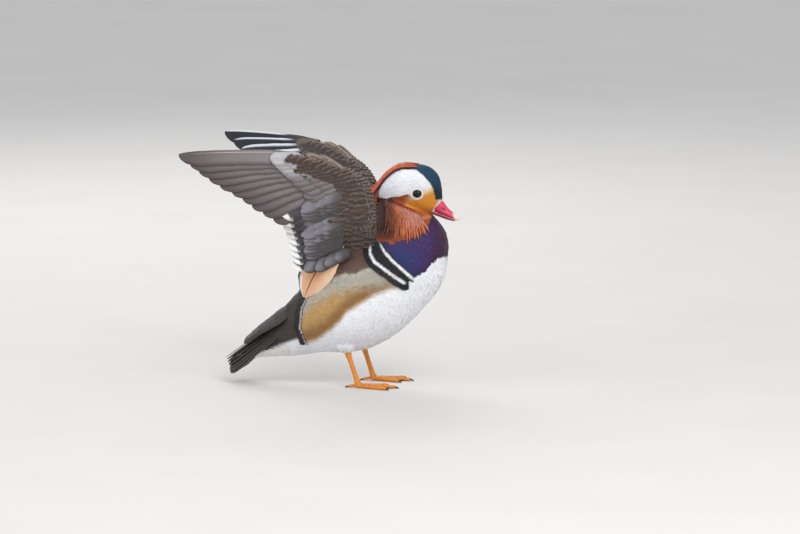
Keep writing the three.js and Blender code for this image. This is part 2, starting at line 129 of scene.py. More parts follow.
def grid_faces(rings, sides, start=0):
    faces = []
    for i in range(rings - 1):
        for j in range(sides):
            a, b = start + i * sides + j, start + i * sides + (j + 1) % sides
            faces.append((a, b, b + sides, a + sides))
    faces.append(tuple(start + j for j in range(sides))[::-1])
    faces.append(tuple(start + (rings - 1) * sides + j for j in range(sides)))
    return faces


def link_object(name, data):
    made = bpy.data.objects.new(name, data)
    bpy.context.scene.collection.objects.link(made)
    return made


def mesh_object(name, verts, faces):
    mesh = bpy.data.meshes.new(name)
    mesh.from_pydata([tuple(v) for v in to_frame(verts)], [], faces)
    mesh.update()
    mesh.shade_smooth()
    return link_object(name, mesh)


def triangles(mesh):
    return sum(len(polygon.vertices) - 2 for polygon in mesh.polygons)


def evaluated_mesh(item, name):
    graph = bpy.context.evaluated_depsgraph_get()
    mesh = bpy.data.meshes.new_from_object(item.evaluated_get(graph))
    mesh.name = name
    return mesh


def join_rings(forms):
    """Lofted forms, each closed by two caps, as one list of points and one of faces."""
    faces, start = [], 0
    for rings in forms:
        faces += grid_faces(*rings.shape[:2], start=start)
        start += rings.shape[0] * rings.shape[1]
    return np.concatenate([rings.reshape(-1, 3) for rings in forms]), faces


def loft_rings(rows, count, sides, off):
    t = np.linspace(0, len(rows) - 1, count)[:, None]
    angle = np.linspace(0, 2 * pi, sides, endpoint=False)[None, :]
    return on_loft(rows, t + 0 * angle, angle + 0 * t, off)


print("stations of trunk, head and rump:", len(TRUNK), len(HEAD), len(RUMP))

# %% [markdown]
# Both wings lie near a slanted plane. A small class turns a place on that plane into a place in space, so
# that the same feather code makes both sides, and the far wing only lags and drops a little, as the real
# one does.

# %% Wing frames
ARM = np.array([
    [14, 138, -20, 136, 7], [17, 152, -24, 150, 7], [20, 170, -25, 165, 6.8], [21.3, 190, -24.8, 182, 6.4],
    [21, 206, -24, 200, 6], [18.4, 224, -24.5, 216, 5.5], [12, 240, -27, 228, 5.2],
    [-2, 251.5, -33, 237, 4.8], [-20, 259, -46, 245, 4], [-42, 266, -60, 255, 3.4],
    [-63, 271, -73, 264, 2.6], [-84, 271.5, -86, 268, 1.2]])
ARM_PROFILE = [(0, 0), (0.06, 0.55), (0.15, 0.8), (0.3, 0.97), (0.5, 1), (0.7, 0.78), (0.88, 0.4), (1, 0.1)]
SHOULDER = dict(y=26, low=146, high=196, level=150, reach=90, wrist=6.7, clear=0.8)


class Wing:
    def __init__(self, name, side, base, slope, rise, lag, drop, stretch):
        self.name, self.side = name, side
        self.base, self.slope, self.rise = base, slope, rise
        self.lag, self.drop, self.stretch = lag, drop, stretch
        normal = np.array([side * slope, 1.0, -side * rise])
        self.back = normal / np.linalg.norm(normal) * -side

    def place(self, x, z, off=0.0, least=0.0):
        share = np.clip((z - SHOULDER["level"]) / SHOULDER["reach"], 0, 1)
        px = x + share * (self.lag + (SHOULDER["wrist"] - x) * self.stretch)
        pz = z - share * self.drop
        level = np.maximum(least, smooth(SHOULDER["low"], SHOULDER["high"], pz))
        y = mix(SHOULDER["y"], self.base - self.slope * px + self.rise * pz, level)
        flat = np.stack([px + 0 * y, self.side * y, pz + 0 * y], -1)
        return flat + np.asarray(off)[..., None] * self.back

    def arm(self, count, grow):
        loop = ARM_PROFILE + [(u, -h) for u, h in ARM_PROFILE[:0:-1]]
        u, h = np.array(loop).T
        s = catmull(ARM, np.linspace(0, len(ARM) - 1, count))[:, None, :]
        return self.place(mix(s[..., 0], s[..., 2], u), mix(s[..., 1], s[..., 3], u), h * (s[..., 4] + grow))


WINGS = [Wing("R", -1, 32.2, 0.315, 0.14, 0, 0, 0), Wing("L", 1, 27.7, 0.463, 0.139, -10.9, 8.6, 0.094)]
LEGS = {"R": dict(side=-1, foot=-2.8, ankle=-13.9), "L": dict(side=1, foot=6.2, ankle=-3.8)}
print("wings:", [wing.name for wing in WINGS])

# %% [markdown]
# On the real duck there is no seam between head, neck, body and wing: one skin runs over all of it. The
# lofts overlap, and a voxel remesh melts them into a single closed mesh, which a smoothing pass then
# relaxes. It lies a coat's depth inside the solids, so that the feathers fill the gap.

# %% One skin
COAT_DEPTH, ARM_GROWTH = 1.3, -0.8
VOXEL = 1.7 * MM
THIGH = dict(y=25.0, z=50.0, back=2, radii=(12, 10, 10))


def thigh(leg):
    """A feathered thigh bulge that the shank comes out of."""
    centre = np.array([leg["ankle"] - THIGH["back"], leg["side"] * THIGH["y"], THIGH["z"]])
    a = np.linspace(0, 2 * pi, 24, endpoint=False)[None, :]
    b = np.linspace(0.02, pi - 0.02, 12)[:, None]
    ring = np.stack([np.sin(b) * np.cos(a), np.sin(b) * np.sin(a), np.cos(b) + 0 * a], -1)
    return ring * THIGH["radii"] + centre


def build_skin():
    forms = [loft_rings(TRUNK, 90, 72, -COAT_DEPTH), loft_rings(HEAD, 60, 56, -COAT_DEPTH),
             loft_rings(RUMP, 24, 40, -COAT_DEPTH)]
    forms += [wing.arm(50, ARM_GROWTH) for wing in WINGS] + [thigh(leg) for leg in LEGS.values()]
    rough = mesh_object("rough_skin", *join_rings(forms))
    remesh = rough.modifiers.new("melt", "REMESH")
    remesh.mode, remesh.voxel_size = "VOXEL", VOXEL
    relax = rough.modifiers.new("relax", "SMOOTH")
    relax.factor, relax.iterations = 0.5, 4
    mesh = evaluated_mesh(rough, "skin")
    bpy.data.objects.remove(rough)
    mesh.shade_smooth()
    return link_object("skin", mesh)


skin = build_skin()
print("skin faces:", len(skin.data.polygons))

# %% [markdown]
# A drake's markings are areas with soft or ragged edges. Painting a picture would not follow the form, so
# the colours are worked out from where a point lies on the body: inside or outside a few named outlines.
# The same function colours the skin and the small feathers on it, so they always agree.

# %% Markings
def linear(*srgb):
    c = np.array(srgb, float) / 255
    return np.where(c <= 0.04045, c / 12.92, ((c + 0.055) / 1.055) ** 2.4)


def over(below, colour, share):
    """One colour laid over others, with a share for each point."""
    share = np.broadcast_to(np.clip(share, 0, 1), below.shape[:-1])[..., None]
    return below * (1 - share) + np.asarray(colour) * share


COLOURS = {
    "white": linear(238, 239, 243), "belly_shade": linear(196, 198, 210), "black": linear(13, 14, 20),
    "ochre": linear(198, 156, 94), "flank_grey": linear(178, 176, 164), "flank_brown": linear(134, 92, 46),
    "violet": linear(56, 28, 88), "maroon": linear(58, 16, 40), "breast_blue": linear(20, 42, 100),
    "chestnut": linear(160, 74, 30), "gold": linear(222, 142, 40), "pale_gold": linear(232, 206, 158),
    "copper": linear(206, 92, 40), "plum": linear(92, 30, 44), "teal": linear(10, 60, 88),
    "deep_green": linear(6, 32, 34), "crown_violet": linear(62, 38, 84), "back": linear(98, 76, 66),
    "umber": linear(76, 60, 53), "rump": linear(54, 47, 41), "rump_white": linear(226, 224, 220),
    "nape_blue": linear(24, 28, 58)}

BROW_TOP = [(18.5, 222.5), (24.2, 232.3), (32.2, 239.9), (39.1, 244.7), (50.5, 246.8), (61.9, 246.3),
            (70.7, 240.8), (77, 232.6), (80.9, 225), (82.6, 213)]
BROW_FOOT = [(6, 210), (11.6, 211.6), (22.5, 212.9), (33.8, 215.4), (43.6, 216.8), (52.7, 219.2), (60, 216)]
FRONT_BAR = [(23, 167.5), (29.3, 157.3), (39, 147.3), (50, 137.4), (62, 126)]
REAR_BAR = [(16, 176), (12.3, 165.3), (12.8, 155), (18.5, 146), (28.5, 139), (39.5, 130.8), (52.5, 122)]
BREAST_HEM = [(23, 167.5), (29.3, 157.3), (39, 147.3), (50, 137.4), (62, 127), (66.5, 130), (74, 134.5),
              (81.4, 143.6), (87, 149.3), (96, 150)]
FLANK_TOP = [(-72, 96), (-58, 107), (-48, 117), (-28, 128), (-12, 132.5), (12, 138)]
FLANK_FOOT = [(-70, 46), (-61, 50), (-46, 56), (-28, 70), (-16, 82), (-12, 89), (4, 99.6), (20, 110.4),
              (36, 116.5), (52, 118)]
FLANK_END = [(48, -63), (68, -70), (90, -68), (102, -62)]  # x at each height
RUFF = [(8, 217), (40, 221), (60, 216), (79, 202), (76, 188), (59, 174), (37, 168), (18, 168), (14, 190)]


def height_of(outline, x):
    return np.interp(x, *np.array(outline, float).T)


def distance_to(outline, x, z):
    best = np.full(np.shape(x), 1e9)
    for (ax, az), (bx, bz) in zip(outline[:-1], outline[1:]):
        dx, dz = bx - ax, bz - az
        t = np.clip(((x - ax) * dx + (z - az) * dz) / (dx * dx + dz * dz), 0, 1)
        best = np.minimum(best, np.hypot(x - ax - t * dx, z - az - t * dz))
    return best


def inside(outline, x, z):
    hit = np.zeros(np.shape(x), bool)
    for (ax, az), (bx, bz) in zip(outline, outline[1:] + outline[:1]):
        crosses = (az > z) != (bz > z)
        rise = np.where(bz == az, 1e-9, bz - az)
        hit ^= crosses & (x < (bx - ax) * (z - az) / rise + ax)
    return hit


def ragged(p, size, seed=0.0):
    """Smooth pseudo-noise between -1 and 1 from three crossed waves."""
    q = np.asarray(p, float) / size
    a = np.sin(q[..., 0] * 2.1 + 1.7 * np.sin(q[..., 2] * 1.3 + seed))
    b = np.sin(q[..., 1] * 2.3 + 1.9 * np.sin(q[..., 0] * 1.7 + seed * 2))
    c = np.sin(q[..., 2] * 2.7 + 1.4 * np.sin(q[..., 1] * 1.9 + seed * 3))
    return (a + b + c) / 3


def wing_share(p):
    """How far each point lies out on a wing, past the trunk: 0 on the body, 1 on the arm."""
    share = np.zeros(len(p))
    for wing in WINGS:
        y = p[:, 1] * wing.side
        plane = wing.base - wing.slope * p[:, 0] + wing.rise * p[:, 2]
        reach = smooth(-16, -8, y - plane) * smooth(146, 156, p[:, 2]) * smooth(24, 32, y)
        reach *= np.maximum(smooth(172, 180, p[:, 2]), smooth(12, 2, p[:, 0]))
        share = np.maximum(share, reach * (p[:, 0] < 30))
    return share


def lay_flank(lay, x, z, side, rough):
    """Ochre flank between grey and brown, the brown back, and the black and white crescent behind it."""
    flank_top = height_of(FLANK_TOP, x) + rough * 1.5
    flank_foot = height_of(FLANK_FOOT, x) + rough * 2.0
    end = x - height_of(FLANK_END, z)
    flank = smooth(0, 1.5, end) * smooth(-5, 6, z - flank_foot + 2 * rough) * (x < 54) * smooth(18, 30, side)
    flank = flank * ~inside(REAR_BAR + [(60, 118), (60, 220), (18, 220)], x, z)
    lay("ochre", flank)
    lay("flank_brown", flank * smooth(26, 8, z - flank_foot) * 0.8)
    lay("flank_grey", flank * smooth(-30, -7, z - flank_top - 2 * rough))
    lay("flank_grey", flank * smooth(7, 1.5, end) * 0.35)
    above = smooth(-1, 2, z - flank_top) * (z < 260)
    lay("back", above * (x < 60))
    lay("rump", above * smooth(-34, -60, x))
    lay("rump", smooth(0, -2, end) * smooth(0, 6, z - (52 + 0.42 * (x + 70))))
    on_end = (z < 102) * (z > 47) * (side > 12) * (x < -40)
    for middle, half, name in ((-2.4, 3.4, "black"), (1.7, 0.55, "rump_white"), (3.0, 0.7, "black")):
        lay(name, smooth(half + 0.3, half - 0.2, np.abs(end + 0.25 * rough - middle)) * on_end)


def lay_breast(lay, p, x, z, side, rough):
    """Violet breast with a blue side, a maroon front and a spiky hem, and the two white bars on black."""
    hem = z - height_of(BREAST_HEM, x) - (1.2 * rough + 1.6 * ragged(p, 2.1)) * (x > 60)
    breast = smooth(-1.2, 1.2, hem) * (x > 22)
    breast = np.maximum(breast, smooth(150, 160, z) * (x > 18) * (side < 40))
    lay("violet", breast)
    lay("breast_blue", breast * smooth(80, 48, x) * smooth(178, 148, z) * 0.9)
    lay("maroon", breast * np.maximum(smooth(74, 92, x), smooth(176, 196, z)) * 0.85)
    lay("black", breast * smooth(9, 1, hem) * (x > 60) * 0.55)
    lay("nape_blue", smooth(165, 176, z) * smooth(34, 22, x))
    near_front, near_rear = distance_to(FRONT_BAR, x, z), distance_to(REAR_BAR, x, z)
    beside = (side > 24) * (z < 184)
    lay("black", beside * inside(FRONT_BAR + REAR_BAR[::-1], x, z))
    lay("black", beside * smooth(8.4, 7.0, near_rear + 0.6 * rough) * (x < 20) * (z < 180))
    lay("black", beside * smooth(9.2, 7.8, near_rear + 0.6 * rough) * (x < 57))
    lay("black", beside * smooth(4.2, 3.4, near_front) * (x < 62) * (z > 122))
    streak = 0.25 * ragged(p, 1.1, 2.0)
    wide = mix(0.6, 1.35, smooth(172, 150, z))
    lay("white", beside * smooth(wide + 0.5, wide - 0.3, near_front + streak) * smooth(66, 58, x))
    lay("white", beside * smooth(wide + 0.7, wide - 0.1, near_rear + streak) * smooth(56, 50, x))


print("named colours:", len(COLOURS))

# %% [markdown]
# The head carries the most marks on the smallest space: brow, cheek, crown, nape and the edge of the bill.
# They are laid on in the same way, and one function then puts all the marks of the bird together.

# %% Markings of the head
def lay_head(lay, x, z, side, rough):
    """Chestnut ruff, white brow, gold cheek, white ring round eye and bill, and the two-coloured crown."""
    head = smooth(192, 197, z) * (x > 4)
    brow_top = height_of(BROW_TOP, x)
    ruff = inside(RUFF, x, z)
    lay("chestnut", ruff)
    lay("black", ruff * smooth(46, 32, x) * smooth(160, 182, z) * 0.85)
    lay("nape_blue", (x < 30) * smooth(160, 170, z) * (z < 212) * ~ruff)
    lay("white", head * smooth(0, 1.5, z - height_of(BROW_FOOT, x) - rough))
    gold_line = z - 212.5 - (x - 56) * 0.42
    lay("pale_gold", head * smooth(10, 1, gold_line) * smooth(46, 62, x))
    lay("gold", head * smooth(4, -3, gold_line) * smooth(47, 56, x))
    lay("chestnut", head * smooth(206, 198, z) * smooth(30, 36, x) * 0.8)
    lay("white", head * smooth(7.6, 6.6, np.hypot(x - EYE["x"], z - EYE["z"])) * (side > 8))
    bill_edge = x - np.interp(z, [194, 211], [76.0, 87.2])
    lay("white", head * smooth(-1.6, -0.4, bill_edge) * (z < 214) * (z > 198) * 0.8)
    crown = head * smooth(-0.8, 0.8, z - brow_top - 0.6 * rough) * (x > 8) * (z > 205)
    lay("copper", crown)
    lay("plum", crown * smooth(7, 2, z - brow_top) * smooth(48, 36, x) * 0.8)
    lay("crown_violet", crown * smooth(46, 53, x))
    lay("teal", crown * smooth(55, 64, x))
    lay("deep_green", crown * smooth(240, 214, z) * smooth(60, 70, x))
    lay("copper", (x < 16) * smooth(206, 212, z) * (z > brow_top - 2))


def markings(p):
    """Linear colour of the plumage at points p, in millimetres of the drawing."""
    x, y, z = p.T
    side, rough = np.abs(y), ragged(p, 5.0)
    # Painted shade: the white turns a cool grey towards the bottom of the body, below about 90 mm, for the
    # shade on the underside.
    colour = over(np.tile(COLOURS["white"], (len(p), 1)), COLOURS["belly_shade"], smooth(90, 46, z) * 0.22)

    def lay(name, share):
        nonlocal colour
        colour = over(colour, COLOURS[name], share)

    lay_flank(lay, x, z, side, rough)
    lay_breast(lay, p, x, z, side, rough)
    lay_head(lay, x, z, side, rough)
    lay("umber", wing_share(p))
    return colour


print("colour at the corner of the bill:", np.round(markings(np.array([[78.0, -8.0, 200.0]])), 2))

# %% [markdown]
# Feathers grow in rows that point away from the bill. On the trunk they follow the curved middle line
# from the throat to the tail, on the head they run back over the crown, and on the wings towards the rear
# edge. Blending those three directions and flattening the result onto the surface gives the lie of the
# coat.

# %% The lie and the size of the coat
def lie_of(p, normals):
    s = catmull(TRUNK, np.linspace(0, len(TRUNK) - 1, 80))
    middle = (s[:, 0:2] + s[:, 2:4]) / 2
    flow = np.gradient(middle, axis=0)
    flow = -flow / np.linalg.norm(flow, axis=1)[:, None]
    gap = ((p[:, None, [0, 2]] - middle[None]) ** 2).sum(-1)
    weight = np.exp(-gap / 260)
    aim = weight @ flow / (weight.sum(1)[:, None] + 1e-9)
    lie = np.stack([aim[:, 0], 0 * aim[:, 0], aim[:, 1]], 1)
    head = smooth(196, 206, p[:, 2])[:, None] * (p[:, 0] > 0)[:, None]
    crown = smooth(218, 240, p[:, 2])[:, None]
    over_head = mix(np.array([-0.85, 0, -0.42]), np.array([-1.0, 0, 0.12]), crown)
    lie = mix(lie, over_head, head)
    on_wing = wing_share(p)[:, None]
    lie = mix(lie, np.array([-1.0, 0, -0.35]), on_wing)
    lie -= (lie * normals).sum(1)[:, None] * normals
    return lie / (np.linalg.norm(lie, axis=1)[:, None] + 1e-9)


def size_of(p):
    """Length of the contour feathers in mm: small on the head and by thin stripes, long on the back."""
    x, y, z = p.T
    bars = np.minimum(distance_to(REAR_BAR, x, z), distance_to(FRONT_BAR, x, z))
    eye = np.linalg.norm(p - np.array([EYE["x"], 0, EYE["z"]]) - np.sign(p[:, 1:2]) * [0, 19, 0], axis=1)
    size = np.full(len(p), 7.0)
    for length, share in ((11.0, smooth(-2, 6, z - 0.42 * x - 118) * (x < 40)), (5.2, smooth(165, 190, z)),
                          (3.6, smooth(16, 9, bars) * (np.abs(y) > 18)),
                          (4.4, smooth(14, 8, np.abs(z - height_of(BREAST_HEM, x))) * (x > 50)),
                          (4.2, smooth(12, 7, np.abs(x - height_of(FLANK_END, z))) * smooth(112, 104, z)),
                          (4.2, smooth(196, 208, z)), (2.6, smooth(60, 76, x) * smooth(194, 200, z)),
                          (1.8, smooth(14, 7, eye)), (7.0, wing_share(p))):
        size = mix(size, length, share)
    return size


def vertex_arrays(mesh):
    count = len(mesh.vertices)
    co, no = np.empty(count * 3), np.empty(count * 3)
    mesh.vertices.foreach_get("co", co)
    mesh.vertices.foreach_get("normal", no)
    return (co.reshape(-1, 3) - SHIFT) / MM, no.reshape(-1, 3)


def store(mesh, name, kind, values):
    layer = mesh.attributes.new(name, kind, "POINT")
    field = {"FLOAT": "value", "FLOAT_VECTOR": "vector", "FLOAT_COLOR": "color"}[kind]
    if kind == "FLOAT_COLOR":
        values = np.insert(values, 3, 1, 1)
    layer.data.foreach_set(field, np.ascontiguousarray(values, dtype=np.float32).ravel())


def unwrap(p):
    """Angle round the trunk by distance along it, with the wings beside it."""
    angle = np.arctan2(p[:, 1], p[:, 2] - np.interp(p[:, 0], [-110, 0, 60, 90], [50, 105, 190, 205]))
    body = np.stack([0.02 + 0.46 * (angle / (2 * pi) + 0.5), (p[:, 2] * 0.4 + p[:, 0] * 0.5 + 80) / 260], 1)
    wing = np.stack([0.5 + 0.24 * (p[:, 1] > 0) + (p[:, 0] + 90) / 500, (p[:, 2] - 100) / 190], 1)
    return np.clip(np.where(wing_share(p)[:, None] > 0.5, wing, body), 0.01, 0.98)


points, normals = vertex_arrays(skin.data)
x, y, z = points.T
EYE_BARE = 5.6
near_eye = np.linalg.norm(np.abs(points) - [EYE["x"], EYE["y"] + 2.4, EYE["z"]], axis=1)
near_bill = x - np.interp(z, [194, 211], [77.5, 88.6])
bare = (near_eye < EYE_BARE) | ((near_bill > 0) & (np.abs(z - 202) < 9)) | (x < -118)
on_wing = wing_share(points)
flank = smooth(-71, -66, x) * (x < 45) * smooth(0, 6, z - height_of(FLANK_FOOT, x))
flank *= smooth(2, -5, z - height_of(FLANK_TOP, x))
store(skin.data, "tint", "FLOAT_COLOR", markings(points))
charted = np.insert(unwrap(points), 2, 0, 1)
for name, values in (("lie", lie_of(points, normals)), ("up", normals), ("chart", charted)):
    store(skin.data, name, "FLOAT_VECTOR", values)
for name, values in (("size", size_of(points)), ("fine", flank), ("rim", on_wing * 0.35)):
    store(skin.data, name, "FLOAT", values)
REGIONS = ("head", "arms", "breast", "back", "side", "rump")
region = np.select([on_wing > 0.5, (z > 196) & (x > 4), x > 40, z >= 0.42 * x + 118, x > -14],
                   [1, 0, 2, 3, 4], 5)
for k, name in enumerate(REGIONS):
    store(skin.data, "patch_" + name, "FLOAT", ((region == k) & ~bare).astype(float))
print("skin points by region:", np.bincount(region))

# %% [markdown]
# Feather material. One recipe serves every small feather: the colour comes from its tint, a pale rim
# follows the feather's own map, and fine barbs are a slanted wave on the same map. Noise on Object
# coordinates breaks up the evenness and the roughness, and the barbs also make the bump. All materials
# here are wired by the same helpers.

# %% Node helpers and the coat's material
def new_material(name):
    material = bpy.data.materials.new(name)
    material.use_nodes = True
    tree = material.node_tree
    tree.nodes.clear()
    shader = tree.nodes.new("ShaderNodeBsdfPrincipled")
    output = tree.nodes.new("ShaderNodeOutputMaterial")
    tree.links.new(shader.outputs[0], output.inputs[0])
    return material, tree, shader


def feed(tree, socket, value):
    if isinstance(value, bpy.types.NodeSocket):
        tree.links.new(value, socket)
    else:
        socket.default_value = value


def add(tree, kind, inputs=None, **settings):
    node = tree.nodes.new(kind)
    for key, value in settings.items():
        setattr(node, key, value)
    for key, value in (inputs or {}).items():
        feed(tree, node.inputs[key], value)
    return node


def math(tree, operation, *values, clamp=False):
    inputs = dict(enumerate(values))
    return add(tree, "ShaderNodeMath", inputs, operation=operation, use_clamp=clamp).outputs[0]


def vector_math(tree, operation, *values):
    return add(tree, "ShaderNodeVectorMath", dict(enumerate(values)), operation=operation).outputs[0]


def affine(tree, value, factor, base):
    return math(tree, "MULTIPLY_ADD", value, factor, base)


def blend_colour(tree, factor, a, b, mode="MIX"):
    a, b = ((*c, 1) if isinstance(c, tuple) else c for c in (a, b))
    return add(tree, "ShaderNodeMix", {0: factor, 6: a, 7: b}, data_type="RGBA", blend_type=mode).outputs[2]


def attribute(tree, name, output="Color"):
    return add(tree, "ShaderNodeAttribute", attribute_name=name).outputs[output]


def clouds(tree, scale, detail=3.0):
    """The place on the object, and soft noise over it."""
    place = add(tree, "ShaderNodeTexCoord").outputs["Object"]
    noise = add(tree, "ShaderNodeTexNoise", {"Vector": place, "Scale": scale, "Detail": detail})
    return place, noise.outputs["Fac"]


def shaded(tree, shade):
    """The piece's own tint under a grey pattern."""
    grey = add(tree, "ShaderNodeCombineColor", {0: shade, 1: shade, 2: shade}).outputs[0]
    return blend_colour(tree, 1.0, attribute(tree, "tint"), grey, "MULTIPLY")


def wire(tree, shader, colour, roughness, height=None, strength=0.3, depth_mm=0.1, **numbers):
    """Colour, roughness and bump to the shader, and plain numbers to the sockets of those names."""
    feed(tree, shader.inputs["Base Color"], colour)
    feed(tree, shader.inputs["Roughness"], roughness)
    if height is not None:
        inputs = {"Strength": strength, "Distance": depth_mm * MM, "Height": height}
        tree.links.new(add(tree, "ShaderNodeBump", inputs).outputs[0], shader.inputs["Normal"])
    for name, value in numbers.items():
        shader.inputs[name.replace("_", " ")].default_value = value


def contour_material():
    material, tree, shader = new_material("contour_feathers")
    local = add(tree, "ShaderNodeSeparateXYZ", {0: attribute(tree, "barb", "Vector")})
    across = math(tree, "ABSOLUTE", math(tree, "SUBTRACT", local.outputs[0], 0.5))
    slant = math(tree, "SUBTRACT", local.outputs[1], math(tree, "MULTIPLY", across, 0.5))
    barbs = math(tree, "SINE", math(tree, "MULTIPLY", slant, 5 * 2 * pi))
    place, cloud = clouds(tree, 420.0)
    colour = shaded(tree, affine(tree, barbs, 0.04, affine(tree, cloud, 0.2, 0.9)))
    # Fine dark wavy bars of the flank
    warp = add(tree, "ShaderNodeTexNoise", {"Vector": place, "Scale": 900.0, "Detail": 1.0}).outputs["Color"]
    moved = vector_math(tree, "MULTIPLY_ADD", warp, (0.0016, 0.0016, 0.0016), place)
    bars = add(tree, "ShaderNodeTexWave", {"Vector": moved, "Scale": 330.0, "Distortion": 3.0, "Detail": 1.0},
               bands_direction="X").outputs["Fac"]
    dark = math(tree, "MULTIPLY", math(tree, "MULTIPLY", bars, attribute(tree, "fine", "Fac")), 0.45)
    colour = blend_colour(tree, dark, colour, (0.09, 0.045, 0.02))
    # Rim round the tip
    tip = affine(tree, across, 0.55, local.outputs[1])
    ramp = math(tree, "MULTIPLY", math(tree, "SUBTRACT", tip, 0.86), 7.0, clamp=True)
    rim = math(tree, "MULTIPLY", ramp, attribute(tree, "rim", "Fac"))
    wire(tree, shader, blend_colour(tree, rim, colour, (0.7, 0.66, 0.6)), affine(tree, cloud, 0.15, 0.5),
         barbs, 0.35, 0.12, Sheen_Weight=0.06, Specular_IOR_Level=0.4)
    return material


coat_finish = contour_material()
skin_material, tree, shader = new_material("skin_under_feathers")
wire(tree, shader, blend_colour(tree, 1.0, attribute(tree, "tint"), (0.8, 0.78, 0.77), "MULTIPLY"), 0.9)
skin.data.materials.append(skin_material)
print("materials:", coat_finish.name, skin_material.name)

# %% [markdown]
# A contour feather is a small bowed leaf. It is repeated many thousands of times, so it has only twelve
# triangles, or eighteen where it is long: a ridged upper face over a flat lower one, closed all round. It
# points along +Y, its back towards +Z.

# %% One small feather
def small_feather(name, width, bow=0.05, rows=((0.3, 0.85), (0.72, 0.8))):
    verts, uvs = [(0, 0, 0)], [(0.5, 0)]
    for s, w in rows:
        lift = bow * sin(pi * s)
        verts += [(-w * width / 2, s, lift - 0.012), (0, s, lift + 0.018), (w * width / 2, s, lift - 0.012)]
        uvs += [(0.5 - w / 2, s), (0.5, s), (0.5 + w / 2, s)]
    verts.append((0, 1, 0.0))
    uvs.append((0.5, 1))
    tip = len(verts) - 1
    faces = [(0, 2, 1), (0, 3, 2), (0, 1, 3)]
    for row in range(len(rows) - 1):
        a = 1 + 3 * row
        faces += [(a, a + 1, a + 4, a + 3), (a + 1, a + 2, a + 5, a + 4), (a + 2, a, a + 3, a + 5)]
    a = tip - 3
    faces += [(a, a + 1, tip), (a + 1, a + 2, tip), (a + 2, a, tip)]
    mesh = bpy.data.meshes.new(name)
    mesh.from_pydata(verts, [], faces)
    mesh.update()
    layer = mesh.uv_layers.new(name="barb")
    for loop in mesh.loops:
        layer.data[loop.index].uv = uvs[loop.vertex_index]
    mesh.shade_smooth()
    made = link_object(name, mesh)
    made.hide_render = True
    print(name, "faces:", len(faces))
    return made


body_feather = small_feather("body_feather", 0.42)
back_feather = small_feather("back_feather", 0.6, 0.06, ((0.2, 0.75), (0.6, 1.0), (0.88, 0.62)))
silk_feather = small_feather("silk_feather", 0.3, 0.04)


# %% [markdown]
# Geometry Nodes sow the coat. Points are scattered evenly over one region of the skin, each takes the
# lie, size and tint stored there, and a feather is stood on it, its tip lifted a little. The tree ends in
# Realize Instances and Set Material. Each tuft's place on the unwrap is stored as OFBake, so that colours
# bake cleanly.

# %% The coat tree
def named(tree, name, kind):
    return add(tree, "GeometryNodeInputNamedAttribute", {"Name": name}, data_type=kind).outputs["Attribute"]


def scaled(tree, vector, factor):
    return add(tree, "ShaderNodeVectorMath", {0: vector, "Scale": factor}, operation="SCALE").outputs[0]


def coat_tree():
    tree = bpy.data.node_groups.new("sow_feathers", "GeometryNodeTree")
    face = tree.interface
    face.new_socket("Geometry", in_out="INPUT", socket_type="NodeSocketGeometry")
    for name, kind, value in (("Feather", "NodeSocketObject", None), ("Patch", "NodeSocketFloat", 0.0),
                              ("Spacing", "NodeSocketFloat", 0.002), ("Lift", "NodeSocketFloat", 0.12),
                              ("Seed", "NodeSocketInt", 1), ("Material", "NodeSocketMaterial", None)):
        socket = face.new_socket(name, in_out="INPUT", socket_type=kind)
        if value is not None:
            socket.default_value = value
    face.new_socket("Geometry", in_out="OUTPUT", socket_type="NodeSocketGeometry")
    given = tree.nodes.new("NodeGroupInput").outputs
    done = tree.nodes.new("NodeGroupOutput")
    chosen = add(tree, "FunctionNodeCompare", {0: given["Patch"], 1: 0.5}, data_type="FLOAT",
                 operation="GREATER_THAN")
    points = add(tree, "GeometryNodeDistributePointsOnFaces",
                 {"Mesh": given["Geometry"], "Selection": chosen.outputs[0], "Distance Min": given["Spacing"],
                  "Density Max": 1.2e6, "Seed": given["Seed"]}, distribute_method="POISSON")
    up, lie = named(tree, "up", "FLOAT_VECTOR"), named(tree, "lie", "FLOAT_VECTOR")
    jitter = add(tree, "FunctionNodeRandomValue", {0: (-0.1, -0.1, -0.04), 1: (0.1, 0.1, 0.04)},
                 data_type="FLOAT_VECTOR")
    raised = vector_math(tree, "ADD", lie, scaled(tree, up, given["Lift"]))
    aim = vector_math(tree, "NORMALIZE", vector_math(tree, "ADD", raised, jitter.outputs[0]))
    turn = add(tree, "FunctionNodeAxesToRotation", {0: aim, 1: up}, primary_axis="Y", secondary_axis="Z")
    spread = add(tree, "FunctionNodeRandomValue", {2: 0.82, 3: 1.15}, data_type="FLOAT")
    length = math(tree, "MULTIPLY", named(tree, "size", "FLOAT"), spread.outputs[1])
    feather = add(tree, "GeometryNodeObjectInfo", {"Object": given["Feather"]})
    place = tree.nodes.new("GeometryNodeInputPosition").outputs[0]
    seated = add(tree, "GeometryNodeStoreNamedAttribute",
                 {"Geometry": points.outputs["Points"], "Name": "seat", "Value": place},
                 data_type="FLOAT_VECTOR", domain="POINT")
    stood = add(tree, "GeometryNodeInstanceOnPoints",
                {"Points": seated.outputs[0], "Instance": feather.outputs["Geometry"],
                 "Rotation": turn.outputs[0], "Scale": math(tree, "MULTIPLY", length, MM)})
    real = add(tree, "GeometryNodeRealizeInstances", {"Geometry": stood.outputs[0]})
    centred = vector_math(tree, "SUBTRACT", named(tree, "barb", "FLOAT_VECTOR"), (0.5, 0.5, 0))
    chart = vector_math(tree, "ADD", named(tree, "chart", "FLOAT_VECTOR"), scaled(tree, centred, 0.003))
    baked = add(tree, "GeometryNodeStoreNamedAttribute",
                {"Geometry": real.outputs[0], "Name": "OFBake", "Value": chart}, data_type="FLOAT2",
                domain="CORNER")
    painted = add(tree, "GeometryNodeSetMaterial",
                  {"Geometry": baked.outputs[0], "Material": given["Material"]})
    tree.links.new(painted.outputs[0], done.inputs[0])
    return tree


